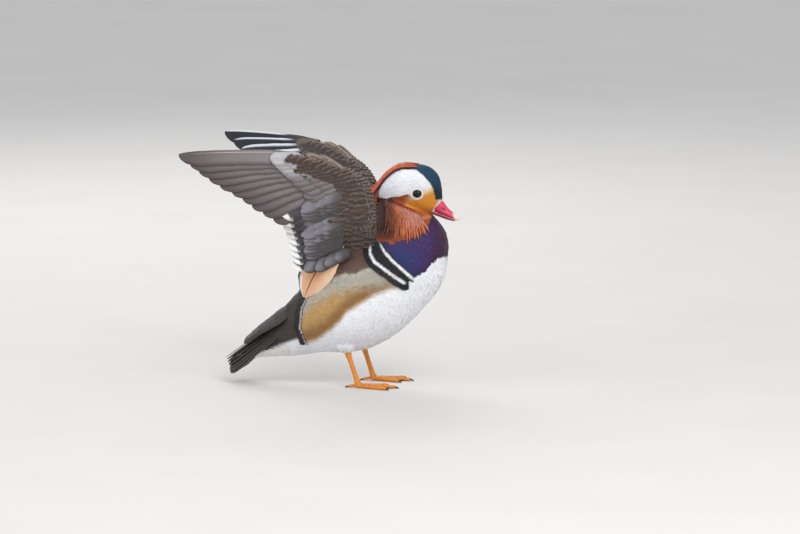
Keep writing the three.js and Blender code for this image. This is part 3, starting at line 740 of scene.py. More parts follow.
sow = coat_tree()
SOCKETS = {item.name: item.identifier for item in sow.interface.items_tree if item.in_out == "INPUT"}
pieces = []


def finish_piece(piece, material, slot, *nodes):
    if material:
        piece.data.materials.append(material)
    if nodes:
        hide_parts(*nodes)
    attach(piece, RIDE)
    pieces.append(piece)
    return piece


def read(mesh, name):
    values = np.empty(len(mesh.vertices) * 3, np.float32)
    mesh.attributes[name].data.foreach_get("vector", values)
    return values.reshape(-1, 3).astype(float)


def groom(mesh):
    """Colours each tuft by where it grows and where it ends, and turns its normals towards the skin's."""
    tips, own = vertex_arrays(mesh)
    seat = (read(mesh, "seat") - SHIFT) / MM
    x, z = seat[:, 0], seat[:, 2]
    crisp = smooth(12, 6, np.abs(x - height_of(FLANK_END, z))) * (z < 110)
    for bar in (REAR_BAR, FRONT_BAR):
        crisp = np.maximum(crisp, smooth(14, 9, distance_to(bar, x, z)))
    tint = markings(mix(seat, tips, 0.6 + 0.4 * crisp[:, None]))
    tuft = np.sin(seat @ [12.9898, 78.233, 37.719]) * 43758.5
    spread = 0.16 * (1 - 0.8 * tint.mean(1))
    tint *= (1 + spread * (tuft - np.floor(tuft) - 0.5))[:, None]
    mesh.attributes["tint"].data.foreach_set("color", np.insert(tint, 3, 1, 1).astype(np.float32).ravel())
    mesh.normals_split_custom_set_from_vertices(unit(0.86 * read(mesh, "up") + 0.14 * own).tolist())


def sow_coat(name, region, feather, spacing_mm, lift, seed):
    grown = link_object(name, skin.data)
    modifier = grown.modifiers.new("coat", "NODES")
    modifier.node_group = sow
    for key, value in (("Feather", feather), ("Spacing", spacing_mm * MM), ("Lift", lift), ("Seed", seed),
                       ("Material", coat_finish)):
        modifier[SOCKETS[key]] = value
    modifier[SOCKETS["Patch"] + "_use_attribute"] = True
    modifier[SOCKETS["Patch"] + "_attribute_name"] = "patch_" + region
    mesh = evaluated_mesh(grown, name)
    grown.modifiers.clear()
    grown.data = mesh
    groom(mesh)
    print(name, "triangles:", triangles(mesh))
    return grown


coats = {}
for name, *settings in (("head_coat", "head", silk_feather, 0.85, 0.03, 3),
                        ("arm_coat", "arms", back_feather, 2.3, 0.08, 9),
                        ("breast_coat", "breast", body_feather, 0.9, 0.03, 5),
                        ("back_coat", "back", back_feather, 1.9, 0.06, 6),
                        ("side_coat", "side", body_feather, 1.0, 0.03, 7),
                        ("rump_coat", "rump", body_feather, 1.05, 0.03, 8)):
    coats[name] = sow_coat(name, *settings)

# %% [markdown]
# Large feathers are modelled one by one, because each has a shaft, two webs and its own pattern. A
# feather is a closed sheet: a grid of points for the upper side, the same grid for the lower side, and a
# rim that joins them. All feathers of a row share one grid layout, so one block of array code makes any
# number of them.

# %% Closed sheets from arrays
def sheet_faces(rows, columns):
    i, j = np.meshgrid(np.arange(rows - 1), np.arange(columns - 1), indexing="ij")
    a = (i * columns + j).ravel()
    b, c, d = a + columns, a + columns + 1, a + 1
    under = rows * columns
    faces = [np.stack([a, b, c, d], 1), np.stack([a, d, c, b], 1) + under]
    k = np.arange(rows - 1) * columns
    faces.append(np.stack([k, k + under, k + columns + under, k + columns], 1))
    k = k + columns - 1
    faces.append(np.stack([k, k + columns, k + columns + under, k + under], 1))
    k = np.arange(columns - 1)
    faces.append(np.stack([k, k + 1, k + 1 + under, k + under], 1))
    k = k + (rows - 1) * columns
    faces.append(np.stack([k, k + under, k + 1 + under, k + 1], 1))
    return np.concatenate(faces)


def sheet_object(name, top, under, top_tint, under_tint, local=None):
    """One mesh of closed sheets. top, under: (count, rows, columns, 3) in mm, with tints of that shape."""
    count, rows, columns = top.shape[:3]
    verts = np.stack([top, under], 1).reshape(-1, 3)
    tint = np.stack([top_tint, under_tint], 1).reshape(-1, 3)
    template = sheet_faces(rows, columns)
    faces = (template[None] + (np.arange(count) * 2 * rows * columns)[:, None, None]).reshape(-1, 4)
    made = mesh_object(name, verts, faces.tolist())
    mesh = made.data
    store(mesh, "tint", "FLOAT_COLOR", np.clip(tint, 0, 1))
    if local is not None:
        store(mesh, "local", "FLOAT_VECTOR", np.stack([local, local], 1).reshape(-1, 3))
    v, u = np.meshgrid(np.linspace(0.04, 0.96, rows), np.linspace(0.04, 0.46, columns), indexing="ij")
    square = np.stack([np.stack([u, v], -1), np.stack([u + 0.5, v], -1)]).reshape(-1, 2)
    wide = int(np.ceil(np.sqrt(count)))
    corner = np.stack([np.arange(count) % wide, np.arange(count) // wide], 1) / wide
    uv = (corner[:, None] + square[None] / wide).reshape(-1, 2)
    layer = mesh.uv_layers.new(name="OFBake")
    loops = np.empty(len(mesh.loops), np.int32)
    mesh.loops.foreach_get("vertex_index", loops)
    layer.data.foreach_set("uv", uv[loops].astype(np.float32).ravel())
    return made


print("faces of the smallest closed sheet:", len(sheet_faces(2, 2)))

# %% [markdown]
# A flock collects feathers that share a grid. Each one gets a path, a face normal and the widths of its
# two webs. The shaft stands up as a ridge, the webs bow a little, and the edges waver, as worn barbs do.

# %% Flocks of feathers
draw = np.random.default_rng(11)


class Flock:
    def __init__(self, name, rows, columns, round_from=0.8, root_width=0.15):
        self.name, self.made = name, []
        self.s = np.sin(np.linspace(0, pi / 2, rows)) ** 1.15
        half = (columns - 1) // 2
        arm = np.linspace(0, 1, half + 1)
        if half > 2:
            arm = np.concatenate([[0, 0.07], np.linspace(0.3, 1, half - 1)])
        self.u = np.concatenate([-arm[:0:-1], arm])
        rise = mix(root_width, 1, smooth(0, 0.22, self.s))
        past = np.clip((self.s - round_from) / (1 - round_from), 0, 1)
        self.shape = rise * np.maximum(np.sqrt(np.clip(1 - past**2.1, 0, 1)), 0.05)

    def add(self, path, normal, lead, trail, top, under, thick=0.3, ridge=0.35, bow=0.08, waver=0.02):
        """path: (rows, 3) along the shaft; normal: face normal; lead and trail: widths of the webs in mm."""
        s, u = self.s[:, None], self.u[None, :]
        along = unit(np.gradient(path, axis=0))
        side = unit(np.cross(np.broadcast_to(normal, path.shape), along))
        up = np.cross(along, side)
        lead, trail = lead * self.shape, trail * self.shape
        width = np.where(u < 0, lead[:, None], trail[:, None])
        worn = 1 + waver * draw.standard_normal(width.shape) * (np.abs(u) > 0.95)
        bowed = bow * (lead + trail)[:, None] * (1 - u**2)
        shaft = ridge * (1 - 0.75 * s) * (np.abs(u) < 0.02)
        middle = path[:, None] + side[:, None] * (u * width * worn)[..., None]
        rim = thick / 2 * (1 - 0.6 * np.abs(u) ** 3)
        upper = middle + up[:, None] * (bowed + shaft + rim)[..., None]
        lower = middle + up[:, None] * (bowed - shaft - rim)[..., None]
        length = np.linalg.norm(np.diff(path, axis=0), axis=1).sum()
        local = np.stack(np.broadcast_arrays(u * width, s * length, draw.random()), -1)
        self.made.append((upper, lower, top(s, u), under(s, u), local))

    def path(self, root, tip, bend=(0, 0, 0), curl=(0, 0, 0)):
        s = self.s[:, None]
        root, tip, bend, curl = (np.asarray(value, float) for value in (root, tip, bend, curl))
        return root + (tip - root) * s + bend * 4 * s * (1 - s) + curl * s**3

    def build(self, material, slot, *nodes):
        arrays = [np.stack([m[k] for m in self.made]) for k in range(5)]
        piece = finish_piece(sheet_object(self.name, *arrays), material, slot, *nodes)
        print(self.name, "feathers:", len(self.made), "faces:", len(piece.data.polygons))


def filled(colour, s, u):
    return np.broadcast_to(colour, np.broadcast(s, u).shape + (3,))


def plain(colour, edge=None, shaft=None, edge_from=0.8, spread=0.05):
    """Paints a feather in one colour, with an edge and a shaft colour where they are given."""
    shade = 1 + spread * draw.standard_normal()

    def paint(s, u):
        c = filled(np.asarray(colour) * shade, s, u)
        if edge is not None:
            c = over(c, edge, np.maximum(smooth(edge_from, 1.0, np.abs(u)), smooth(edge_from + 0.1, 1.0, s)))
        if shaft is not None:
            c = over(c, shaft, np.abs(u) < 0.02)
        return c

    return paint


def pattern(colour, tones, edge, edge_tones, shaft, edge_from, spread=0.05):
    """A kind of feather: each one takes its own tone, drawn between the two numbers of tones."""
    def painter(share=0.0):
        base = colour * draw.uniform(*tones) if tones else colour
        hem = edge * draw.uniform(*edge_tones) if edge_tones else edge
        return plain(base, hem, shaft, edge_from, spread)

    return painter


# %% [markdown]
# The vanes of large feathers shine along their barbs. Each point knows its distance from the shaft and
# from the root in millimetres, so slanted waves of a real barb's width run over every feather, long or
# short, and a coarser wave groups them. The silk of ruff and crest is the same recipe with wider barbs
# and less depth.

# %% Finish of the large feathers
def vane_material(name, roughness, barb_mm, depth, sheen):
    material, tree, shader = new_material(name)
    local = add(tree, "ShaderNodeSeparateXYZ", {0: attribute(tree, "local", "Vector")})
    across = math(tree, "ABSOLUTE", local.outputs[0])
    slant = math(tree, "SUBTRACT", local.outputs[1], math(tree, "MULTIPLY", across, 1.1))
    cloud = clouds(tree, 260.0)[1]
    shifted = affine(tree, cloud, 1.2, slant)
    fine = math(tree, "SINE", math(tree, "MULTIPLY", shifted, 2 * pi / barb_mm))
    wide = math(tree, "SINE", math(tree, "MULTIPLY", shifted, 2 * pi / (barb_mm * 4.3)))
    waves = affine(tree, fine, 0.6, math(tree, "MULTIPLY", wide, 0.4))
    shade = affine(tree, waves, depth, affine(tree, cloud, 0.24, 0.88))
    wire(tree, shader, shaded(tree, shade), affine(tree, cloud, 0.15, roughness), waves, 0.4, 0.15,
         Specular_IOR_Level=0.45, Sheen_Weight=sheen)
    return material


vane_finish = vane_material("flight_vanes", 0.5, 0.9, 0.07, 0.1)
silk_finish = vane_material("silky_hackles", 0.42, 1.2, 0.05, 0.0)
print("materials:", vane_finish.name, silk_finish.name)

# %% [markdown]
# A flight feather overlaps its neighbour like a louvre: its leading edge lies towards the back of the
# wing, and its trailing edge under the next one. Roots and tips run evenly between two named end
# feathers, as in the solids, so a wing is ten primaries and nine secondaries laid out by a loop.

# %% Flight feathers
PRIMARIES = dict(count=10, roots=[[-60, 267.5], [-10, 238]], tips=[[-190.5, 270], [-88, 195]], width=[17, 20],
                 cover=[0.24, 0.48])
SECONDARIES = dict(count=9, roots=[[-6, 233], [-20, 168]], tips=[[-81, 200.5], [-70, 140]], width=[20, 19],
                   cover=[0.72, 0.76])
MAUVE, MAUVE_DARK = linear(124, 114, 114), linear(78, 69, 71)
INK, WHITE, SPECULUM = linear(26, 26, 34), linear(240, 238, 234), linear(24, 84, 112)
SHAFT_PALE, SHAFT_DARK = linear(206, 194, 182), linear(52, 40, 36)
RISE_MM = 1.05


def remex_frame(wing, group, share):
    """Root, tip and directions of a feather that stands some share of the way through its group."""
    roots, tips = np.array(group["roots"], float), np.array(group["tips"], float)
    root, tip = wing.place(*mix(*roots, share)), wing.place(*mix(*tips, share), 0, SHOULDER["clear"])
    along = unit(tip - root)
    inner = unit(np.cross(wing.back, along))
    if inner @ np.array([0.4, 0, -1]) < 0:
        inner = -inner
    gap = min(np.hypot(*(ends[0] - ends[1])) for ends in (roots, tips)) / (group["count"] - 1)
    slope = np.arcsin(RISE_MM / gap)
    normal = wing.back * cos(slope) + inner * sin(slope)
    return root, tip, along, inner, normal


def add_turned(flock, path, normal, inner, lead, trail, *rest, **more):
    """Adds a feather so that its trailing web lies on the inner side, on either wing and either face."""
    along = unit(path[-1] - path[0])
    if np.cross(normal, along) @ inner > 0:
        flock.add(path, normal, lead, trail, *rest, **more)
    else:
        top, under = rest
        more["bow"] = -more.get("bow", 0.08)
        flock.add(path, -np.asarray(normal), lead, trail, under, top, **more)


def primary_top(s, u):
    c = over(plain(linear(66, 56, 52), spread=0.02)(s, u), INK, smooth(0.2, 0.4, s))
    hem = smooth(-0.42, -0.52, u) * smooth(0.3, 0.42, s) * smooth(1.0, 0.95, s)
    return over(c, linear(214, 220, 230), hem)


def primary_under(s, u):
    c = plain(MAUVE, shaft=SHAFT_PALE, spread=0.03)(s, u)
    c = over(c, linear(150, 146, 148), smooth(0.6, 0.2, s) * 0.35)
    return over(c, MAUVE_DARK, np.maximum(smooth(0.5, 1.0, s) * 0.95, smooth(0.55, 1.0, u) * 0.6))


def secondary_top(s, u):
    c = plain(linear(70, 62, 62), spread=0.02)(s, u)
    c = over(c, SPECULUM, smooth(0.1, -0.1, u) * smooth(0.35, 0.5, s))
    for low, colour in ((0.87, INK), (0.93, WHITE)):
        c = over(c, colour, smooth(low, low + 0.015, s))
    return c


def secondary_under(s, u):
    c = plain(linear(104, 100, 104), spread=0.03)(s, u)
    c = over(c, INK, smooth(0.5, 0.85, s) * smooth(-0.2, 0.8, u) * 0.75)
    return over(c, WHITE, smooth(0.915, 0.93, s + 0.03 * u) * smooth(1.2, 0.95, u))


def flight_feathers(wing, flock, group, top, under, lead_share, curl):
    for i in range(group["count"]):
        share = i / (group["count"] - 1)
        root, tip, along, inner, normal = remex_frame(wing, group, share)
        width = mix(*group["width"], share)
        tip = tip + along * draw.uniform(-1.2, 1.2)
        lead_here = lead_share * mix(0.45, 1.0, float(smooth(0, 0.35, share)))
        shift = inner * width * (lead_here - 0.5)
        path = flock.path(root, tip, bend=-inner * 1.2 + normal * 1.2, curl=inner * curl) + shift
        add_turned(flock, path, normal, inner, width * lead_here, width * (1 - lead_here), top, under,
                   thick=0.35, ridge=0.45, bow=0.05)


for wing in WINGS:
    for name, round_from, *rest in (
            ("primaries_", 0.8, PRIMARIES, primary_top, primary_under, 0.34, 1.6),
            ("secondaries_", 0.84, SECONDARIES, secondary_top, secondary_under, 0.42, 1.0)):
        flock = Flock(name + wing.name, 30, 9, round_from)
        flight_feathers(wing, flock, *rest)
        flock.build(vane_finish, "wing_feathers", "wing_" + wing.name)

# %% [markdown]
# Coverts lie over the roots of the flight feathers like roof tiles, in rows that shorten towards the
# front edge of the wing, on both faces. The greater ones take the line of their flight feather. The
# smaller ones are set on the arm's own surface, one row behind another.

# %% Coverts
def greater_coverts(wing, flock, face, paint, group, row, reach, lift):
    """One covert over each flight feather of the group and one between each two."""
    steps = 2 * group["count"] - 1
    for k in range(steps):
        share = k / (steps - 1)
        root, tip, along, inner, normal = remex_frame(wing, group, share)
        cover = mix(*group["cover"], share) * reach * (1 + 0.03 * draw.standard_normal())
        width = mix(*group["width"], share) * row
        start = root + normal * face * lift - along * 3
        end = root + (tip - root) * cover + normal * face * (lift + 0.5 + 0.35 * (k % 2))
        path = flock.path(start, end, bend=normal * face * 1.0)
        add_turned(flock, path, normal, inner, width / 2, width / 2, paint(share), paint(share),
                   bow=0.05 * face, thick=0.3)


def silver_paint(share=0.0):
    """Silvery at the wrist, greyer towards the body."""
    grey = float(smooth(0.2, 0.6, share))
    base = mix(linear(188, 186, 190), linear(128, 120, 121), grey) * draw.uniform(0.93, 1.04)
    return plain(base, edge=base * mix(0.85, 0.72, grey), shaft=base * 0.7, edge_from=0.75)


def slate_paint(share=0.0):
    """Dark grey with a lilac end and a dark trailing hem."""
    base, end = linear(90, 86, 86) * draw.uniform(0.88, 1.1), linear(126, 121, 130) * draw.uniform(0.93, 1.07)

    def paint(s, u):
        c = over(filled(base, s, u), end, smooth(0.5, 0.92, s) * smooth(1.15, 0.4, np.abs(u)))
        return over(c, base * 0.45, smooth(0.86, 1.0, np.abs(u)) * 0.6)

    return paint


umber_paint = pattern(linear(80, 62, 54), (0.7, 1.1), linear(142, 122, 106), (0.42, 0.72), SHAFT_DARK, 0.8)
dark_paint = pattern(linear(64, 52, 48), (0.8, 1.15), linear(140, 124, 110), None, SHAFT_DARK, 0.7)
back_paint = pattern(linear(74, 64, 60), (0.85, 1.15), linear(110, 96, 86), None, SHAFT_DARK, 0.75)
COVER_ROWS = ((PRIMARIES, 0.85, 1.0, 1.3), (PRIMARIES, 0.75, 0.62, 2.3), (SECONDARIES, 0.8, 1.0, 1.3),
              (SECONDARIES, 0.75, 0.76, 2.3), (SECONDARIES, 0.72, 0.54, 3.2))


def arm_point(wing, t, u, face, off):
    s = catmull(ARM, np.array(t))
    x, z = mix(s[0], s[2], u), mix(s[1], s[3], u)
    half = s[4] * np.interp(u, *np.array(ARM_PROFILE).T)
    return wing.place(x, z, face * (half + off))


def arm_rows(wing, flock, face, paint, u_rows, spacing, length, width):
    for r, u in enumerate(u_rows):
        t = (1.2 if face > 0 else 1.8) + 0.25 * (r % 2)
        while t < (10.2 if u < 0.5 else 9.2):
            here, ahead = catmull(ARM, np.array(t)), catmull(ARM, np.array(min(t + 0.3, 11)))
            root = arm_point(wing, t, u, face, 0.1 + 2.2 * float(smooth(6.5, 9, t)))
            chord = wing.place(here[2], here[3]) - wing.place(here[0], here[1])
            outward = unit(wing.place(ahead[0], ahead[1]) - wing.place(here[0], here[1]))
            lean = 0.15 + 0.75 * float(smooth(4, 8, t))
            aim = unit(unit(chord) + outward * lean + 0.06 * draw.standard_normal(3))
            size = length * mix(0.8, 1.15, u) * draw.uniform(0.9, 1.1)
            size *= mix(1.0, 0.75, float(smooth(7, 10, t)))
            dip = arm_point(wing, t, min(u + 0.2, 1), face, 0) - arm_point(wing, t, u, face, 0)
            fall = wing.back * (dip @ wing.back) * 0.7
            end = root + aim * size + wing.back * face * 0.9 + fall
            path = flock.path(root - aim * 1.0 - wing.back * face * 0.3, end, bend=wing.back * face * 0.5)
            half = width * mix(0.85, 1.1, u) / 2
            flock.add(path, wing.back * face, half, half, paint(), paint(), thick=0.25, ridge=0.15, bow=0.1)
            t += spacing / 14.0 * draw.uniform(0.92, 1.08)


for wing in WINGS:
    flock = Flock("greater_coverts_" + wing.name, 14, 7, 0.7, 0.5)
    for face in (-1, 1):
        for group, *numbers in COVER_ROWS:
            under_paint = silver_paint if group is PRIMARIES else slate_paint
            greater_coverts(wing, flock, face, back_paint if face > 0 else under_paint, group, *numbers)
    flock.build(vane_finish, "wing_feathers", "wing_" + wing.name)
    flock = Flock("lesser_coverts_" + wing.name, 8, 5, 0.5, 0.6)
    for face, paint in ((-1, umber_paint), (1, back_paint)):
        arm_rows(wing, flock, face, paint, np.linspace(0.92, 0.1, 8), 5.2, 11.5, 8.0)
        arm_rows(wing, flock, face, dark_paint, (0.06, 0.02), 3.6, 7.5, 5.0)
    flock.build(vane_finish, "wing_feathers", "wing_" + wing.name)

# %% [markdown]
# The alula is a tuft of three stiff feathers on the thumb. The tertials close the wing against the body,
# and the innermost one is the drake's orange sail: a broad, upswept web with a dark shaft, a black hem
# and a white corner.

# %% Alula, tertials and sail
ALULA = [dict(root=[-8, 249], tip=[-52, 271.5], width=9), dict(root=[-10, 250], tip=[-38, 269], width=8),
         dict(root=[-12, 250], tip=[-30, 265], width=7)]
TERTIALS = [dict(root=[-16, 165], tip=[-59, 137], width=18), dict(root=[-13, 162], tip=[-47, 138], width=17),
            dict(root=[-10, 159], tip=[-37, 144], width=15)]
SAIL = np.array([[-19, 42, 166, 4], [-34, 44, 150, 15], [-48, 43, 132, 19], [-57, 40, 115, 13],
                 [-62.5, 36.5, 103, 2]])
SAIL_BUFF, SAIL_DEEP, SAIL_PALE = linear(232, 184, 146), linear(206, 132, 76), linear(236, 206, 178)


alula_paint = pattern(linear(86, 70, 62), None, linear(150, 136, 122), None, SHAFT_PALE, 0.8)


def sail_paint(s, u):
    """Buff webs, deeper by the shaft, pale in front, with a black hem and a white corner behind."""
    c = filled(SAIL_BUFF, s, u)
    for colour, share in ((SAIL_DEEP, 0.75 * smooth(0.6, 0.1, np.abs(u)) * smooth(1.1, 0.3, s)),
                          (SAIL_PALE, smooth(0.45, 0.95, u) * smooth(0.15, 0.5, s)),
                          (WHITE, smooth(-0.62, -0.72, u) * smooth(0.6, 0.66, s)),
                          (INK, smooth(-0.86, -0.91, u)),
                          (SHAFT_DARK, smooth(0.05, 0.03, np.abs(u)))):
        c = over(c, colour, share)
    return c


for wing in WINGS:
    flock = Flock("alula_tertials_" + wing.name, 20, 7, 0.72, 0.4)
    for k, feather in enumerate(ALULA):
        for face in (-1, 1):
            root, tip = (wing.place(*feather[end], face * (3.2 + 0.8 * k)) for end in ("root", "tip"))
            flock.add(flock.path(root, tip), wing.back * face, feather["width"] / 2, feather["width"] / 2,
                      alula_paint(), alula_paint(), bow=0.06)
    for k, feather in enumerate(TERTIALS):
        root = wing.place(*feather["root"], -1.0 - 0.9 * k)
        for reach, lift in ((1.0, 0.0), (0.62, 1.3)):
            tip = wing.place(*feather["tip"], -1.0 - 0.9 * k, SHOULDER["clear"])
            start, end = (p - wing.back * lift for p in (root, root + (tip - root) * reach))
            flock.add(flock.path(start, end), -wing.back, feather["width"] / 2, feather["width"] / 2,
                      slate_paint(), back_paint(), bow=0.06)
    flock.build(vane_finish, "wing_feathers", "wing_" + wing.name)
    flock = Flock("sail_" + wing.name, 40, 19, 0.995, 1.0)
    spine = catmull(SAIL, flock.s * (len(SAIL) - 1))
    path = spine[:, :3] * [1, wing.side, 1]
    facing = unit([0.12, wing.side, 0.3])
    turn = 1 if np.cross(facing, unit(path[-1] - path[0]))[0] > 0 else -1
    flock.shape = np.ones_like(flock.s)
    flock.add(path, turn * facing, spine[:, 3], spine[:, 3], sail_paint, sail_paint, thick=0.6, ridge=0.4,
              bow=turn * 0.09)
    flock.build(vane_finish, "wing_feathers", "wing_" + wing.name)

# %% [markdown]
# The tail is a closed fan: the middle pair on top, each outer pair one level lower, with short coverts
# above it and long white ones below.

# %% Tail
TAIL = dict(pairs=6, root=(-89, 74), tip=(-158.5, 27), width=16, root_spread=2.0, tip_spread=3.1, level=1.3)


TAIL_COVERTS = (
    dict(name="tail_coverts", rows=6, start=84, step=6.5, spread=(4.6, 2.6), hollow=-0.028, lift=-1,
         line=[(84, 90), (91, 84), (104, 74), (117, 62), (130, 50)], reach=(-19, 0.25, -12, -0.25),
         bend=(0.3, 0, 0.8), normal=(0.5, 0.1, 1), half=5, round_from=0.6,
         kind=(linear(46, 42, 35), None, linear(62, 58, 46), None, SHAFT_DARK, 0.75)),
    dict(name="undertail_coverts", rows=9, start=78, step=6.2, spread=(4.4, 1.5), hollow=0.03, lift=1.2,
         line=[(78, 31.5), (90, 30.8), (100, 30.2), (114, 29), (125, 28), (134, 29)],
         reach=(-17, 0.2, 0.5, 0.2), bend=(0, 0, -0.8), normal=(0.05, 0.12, -1), half=4.4, round_from=0.55,
         kind=(linear(234, 232, 228), None, linear(214, 208, 202), None, None, 0.8, 0.02)))


def tail_coverts(name, rows, start, step, spread, hollow, lift, line, reach, bend, normal, half, round_from,
                 kind):
    """Rows of nine coverts that follow the line of the rump, given as (distance behind the feet, height)."""
    flock = Flock(name, 10, 5, round_from, 0.5)
    paint = pattern(*kind)
    for r in range(rows):
        behind = start + step * r
        for k in range(-4, 5):
            y = k * mix(*spread, r / (rows - 1))
            root = np.array([-behind, y, np.interp(behind, *np.array(line).T) + hollow * y * y + lift])
            tip = root + np.array([reach[0], k * reach[1], reach[2] + reach[3] * abs(k)])
            facing = unit([normal[0], normal[1] * k, normal[2]])
            flock.add(flock.path(root, tip, bend=bend), facing, half, half, paint(), paint(), bow=0.12)
    flock.build(vane_finish, "tail_feathers", "tail")


tail_paint = pattern(linear(44, 38, 33), None, linear(70, 62, 52), None, SHAFT_DARK, 0.86)
flock = Flock("rectrices", 24, 9, 0.82, 0.5)
for k in range(-TAIL["pairs"], TAIL["pairs"] + 1):
    out = abs(k)
    down = (2 * out - (k < 0)) * TAIL["level"]
    root = np.array([TAIL["root"][0] - out * 0.8, k * TAIL["root_spread"], TAIL["root"][1] - down])
    reach = TAIL["tip"][0] + out * 1.6 + draw.uniform(-1, 1)
    tip = np.array([reach, k * TAIL["tip_spread"], TAIL["tip"][1] - down])
    normal = unit([0.45, sin(radians(2 * k)), cos(radians(2 * k))])
    flock.add(flock.path(root, tip, bend=(0, 0, 0.8)), normal, TAIL["width"] / 2, TAIL["width"] / 2,
              tail_paint(), tail_paint(), thick=0.3, ridge=0.2, bow=0.03)
flock.build(vane_finish, "tail_feathers", "tail")
for covert in TAIL_COVERTS:
    tail_coverts(**covert)

# %% [markdown]
# The ruff is a fan of long, narrow hackles that hang from the cheek over the breast, one tier on another.
# The crest is a bundle of silky plumes from the crown that droop past the nape. Both follow the lofts
# underneath.

# %% Ruff and crest
RUFF_TIERS = 8
CHESTNUT, RUST_PALE = linear(112, 44, 18), linear(226, 128, 74)
NAPE_DARK, PINK_PALE = linear(34, 16, 16), linear(222, 170, 158)
SILKY = dict(ridge=0.12, bow=0.12, waver=0.04)


def hackle_paint(base, pale):
    dark = np.asarray(base) * draw.uniform(0.75, 1.2)

    def paint(s, u):
        return over(filled(dark, s, u), pale, smooth(0.7, 0.1, np.abs(u)) * smooth(0.15, 0.6, s) * 0.85)

    return paint


def on_form(loft, stations, angles, lift):
    """A path at some height over a loft, and the direction away from the loft."""
    path = on_loft(loft, stations, angles, lift)
    return path, unit(on_loft(loft, stations, angles, lift + 3) - path)


flock = Flock("ruff_hackles", 12, 3, 0.3, 0.6)
for side in (-1, 1):
    for tier in range(RUFF_TIERS):
        reach = mix(1.0, 0.3, tier / (RUFF_TIERS - 1))
        count = 38 - tier
        for k in range(count):
            share = (k + 0.5 * (tier % 2)) / (count - 1)
            root_angle = radians(mix(46, 110, share))
            tip_angle = mix(root_angle, radians(mix(56, 123, share)), reach)
            tip_station = mix(11.7, mix(7.5, 10.1, share), reach) + draw.uniform(-0.3, 0.2)
            stations = mix(11.75, tip_station, flock.s)
            angles = side * (mix(root_angle, tip_angle, flock.s) + draw.uniform(-0.02, 0.02))
            lift = mix(-0.8, 0.8 + 0.5 * tier + draw.uniform(0, 0.9), np.minimum(1, flock.s * 3))
            nape = 1 - float(smooth(0.1, 0.5, share))
            pink = float(smooth(0.35, 0.6, share) * smooth(0.0, 4.0, tier)) * 0.7
            base = mix(mix(CHESTNUT, linear(150, 62, 24), draw.random()), NAPE_DARK, 0.85 * nape)
            pale = mix(mix(RUST_PALE, PINK_PALE, pink), CHESTNUT, 0.85 * nape)
            paint = hackle_paint(base, pale)
            flock.add(*on_form(TRUNK, stations, angles, lift), 1.35, 1.35, paint, paint, thick=0.35, **SILKY)
flock.build(silk_finish, "ruff", "neck")

flock = Flock("crest_plumes", 14, 3, 0.4, 0.6)
for tier in range(6):
    for k in range(-13, 14):
        fan = (k + 0.5 * (tier % 2)) / 13.5
        root_station = mix(4.5, 1.6, tier / 5) + draw.uniform(-0.2, 0.2)
        stations = mix(root_station, 0.35, np.minimum(flock.s / 0.82, 1))
        angle = fan * np.interp(stations, [0.3, 1, 2, 3, 4, 5], [0.95, 0.98, 0.74, 0.53, 0.5, 0.5])
        out = abs(fan)
        tip = np.array([5.0 + 7 * out + tier * 0.6, fan * 9, 222 - tier * 2.4 - out * 4])
        tip += draw.uniform(-1, 1, 3)
        lift = mix(-0.8, 0.6 + 0.35 * (5 - tier) * (1 - 0.6 * out), np.minimum(1, flock.s * 4))
        path, normal = on_form(HEAD, stations, angle, lift + draw.uniform(0, 0.4))
        pull = smooth(0.66, 1.0, flock.s)[:, None]
        path = path * (1 - pull) + tip * pull
        plum = smooth(30, 46, path[0, 0]) * 0.5 * draw.random() + 0.6 * (out > 0.85)
        base = mix(COLOURS["copper"], COLOURS["plum"], plum)
        flock.add(path, normal, 1.5, 1.5, hackle_paint(base * 0.85, base * 1.3), hackle_paint(base, base),
                  **SILKY)
flock.build(silk_finish, "head_plumage", "head")

# %% [markdown]
# The bill is horn over bone: smooth, slightly waxy, crimson with a pale nail at the tip. It is a close
# loft, and the nostrils are pressed into it point by point, which keeps the surface whole.

# %% Bill
UPPER_BILL = np.array([
    [90.4, 210.3, 79.0, 198.5, 7.4], [94.0, 204.7, 86.0, 195.6, 7.0], [98.5, 199.9, 93.0, 193.1, 6.8],
    [103.5, 196.4, 99.5, 190.9, 6.6], [107.2, 194.0, 104.2, 189.0, 5.4], [109.0, 190.2, 107.6, 187.9, 2.6]])
LOWER_BILL = np.array([
    [79.2, 197.4, 79.0, 194.8, 6.4], [85.6, 195.0, 86.6, 192.3, 6.2], [92.6, 192.4, 93.6, 189.8, 5.9],
    [99.2, 190.1, 99.8, 188.3, 5.0], [103.4, 188.6, 103.6, 187.7, 2.8]])
NOSTRIL = dict(x=91.4, z=201.6, long=3.0, high=1.1, deep=1.5)
BURIED_MM = 2.0
CRIMSON, ROSE, NAIL = linear(204, 50, 84), linear(226, 104, 128), linear(238, 214, 190)


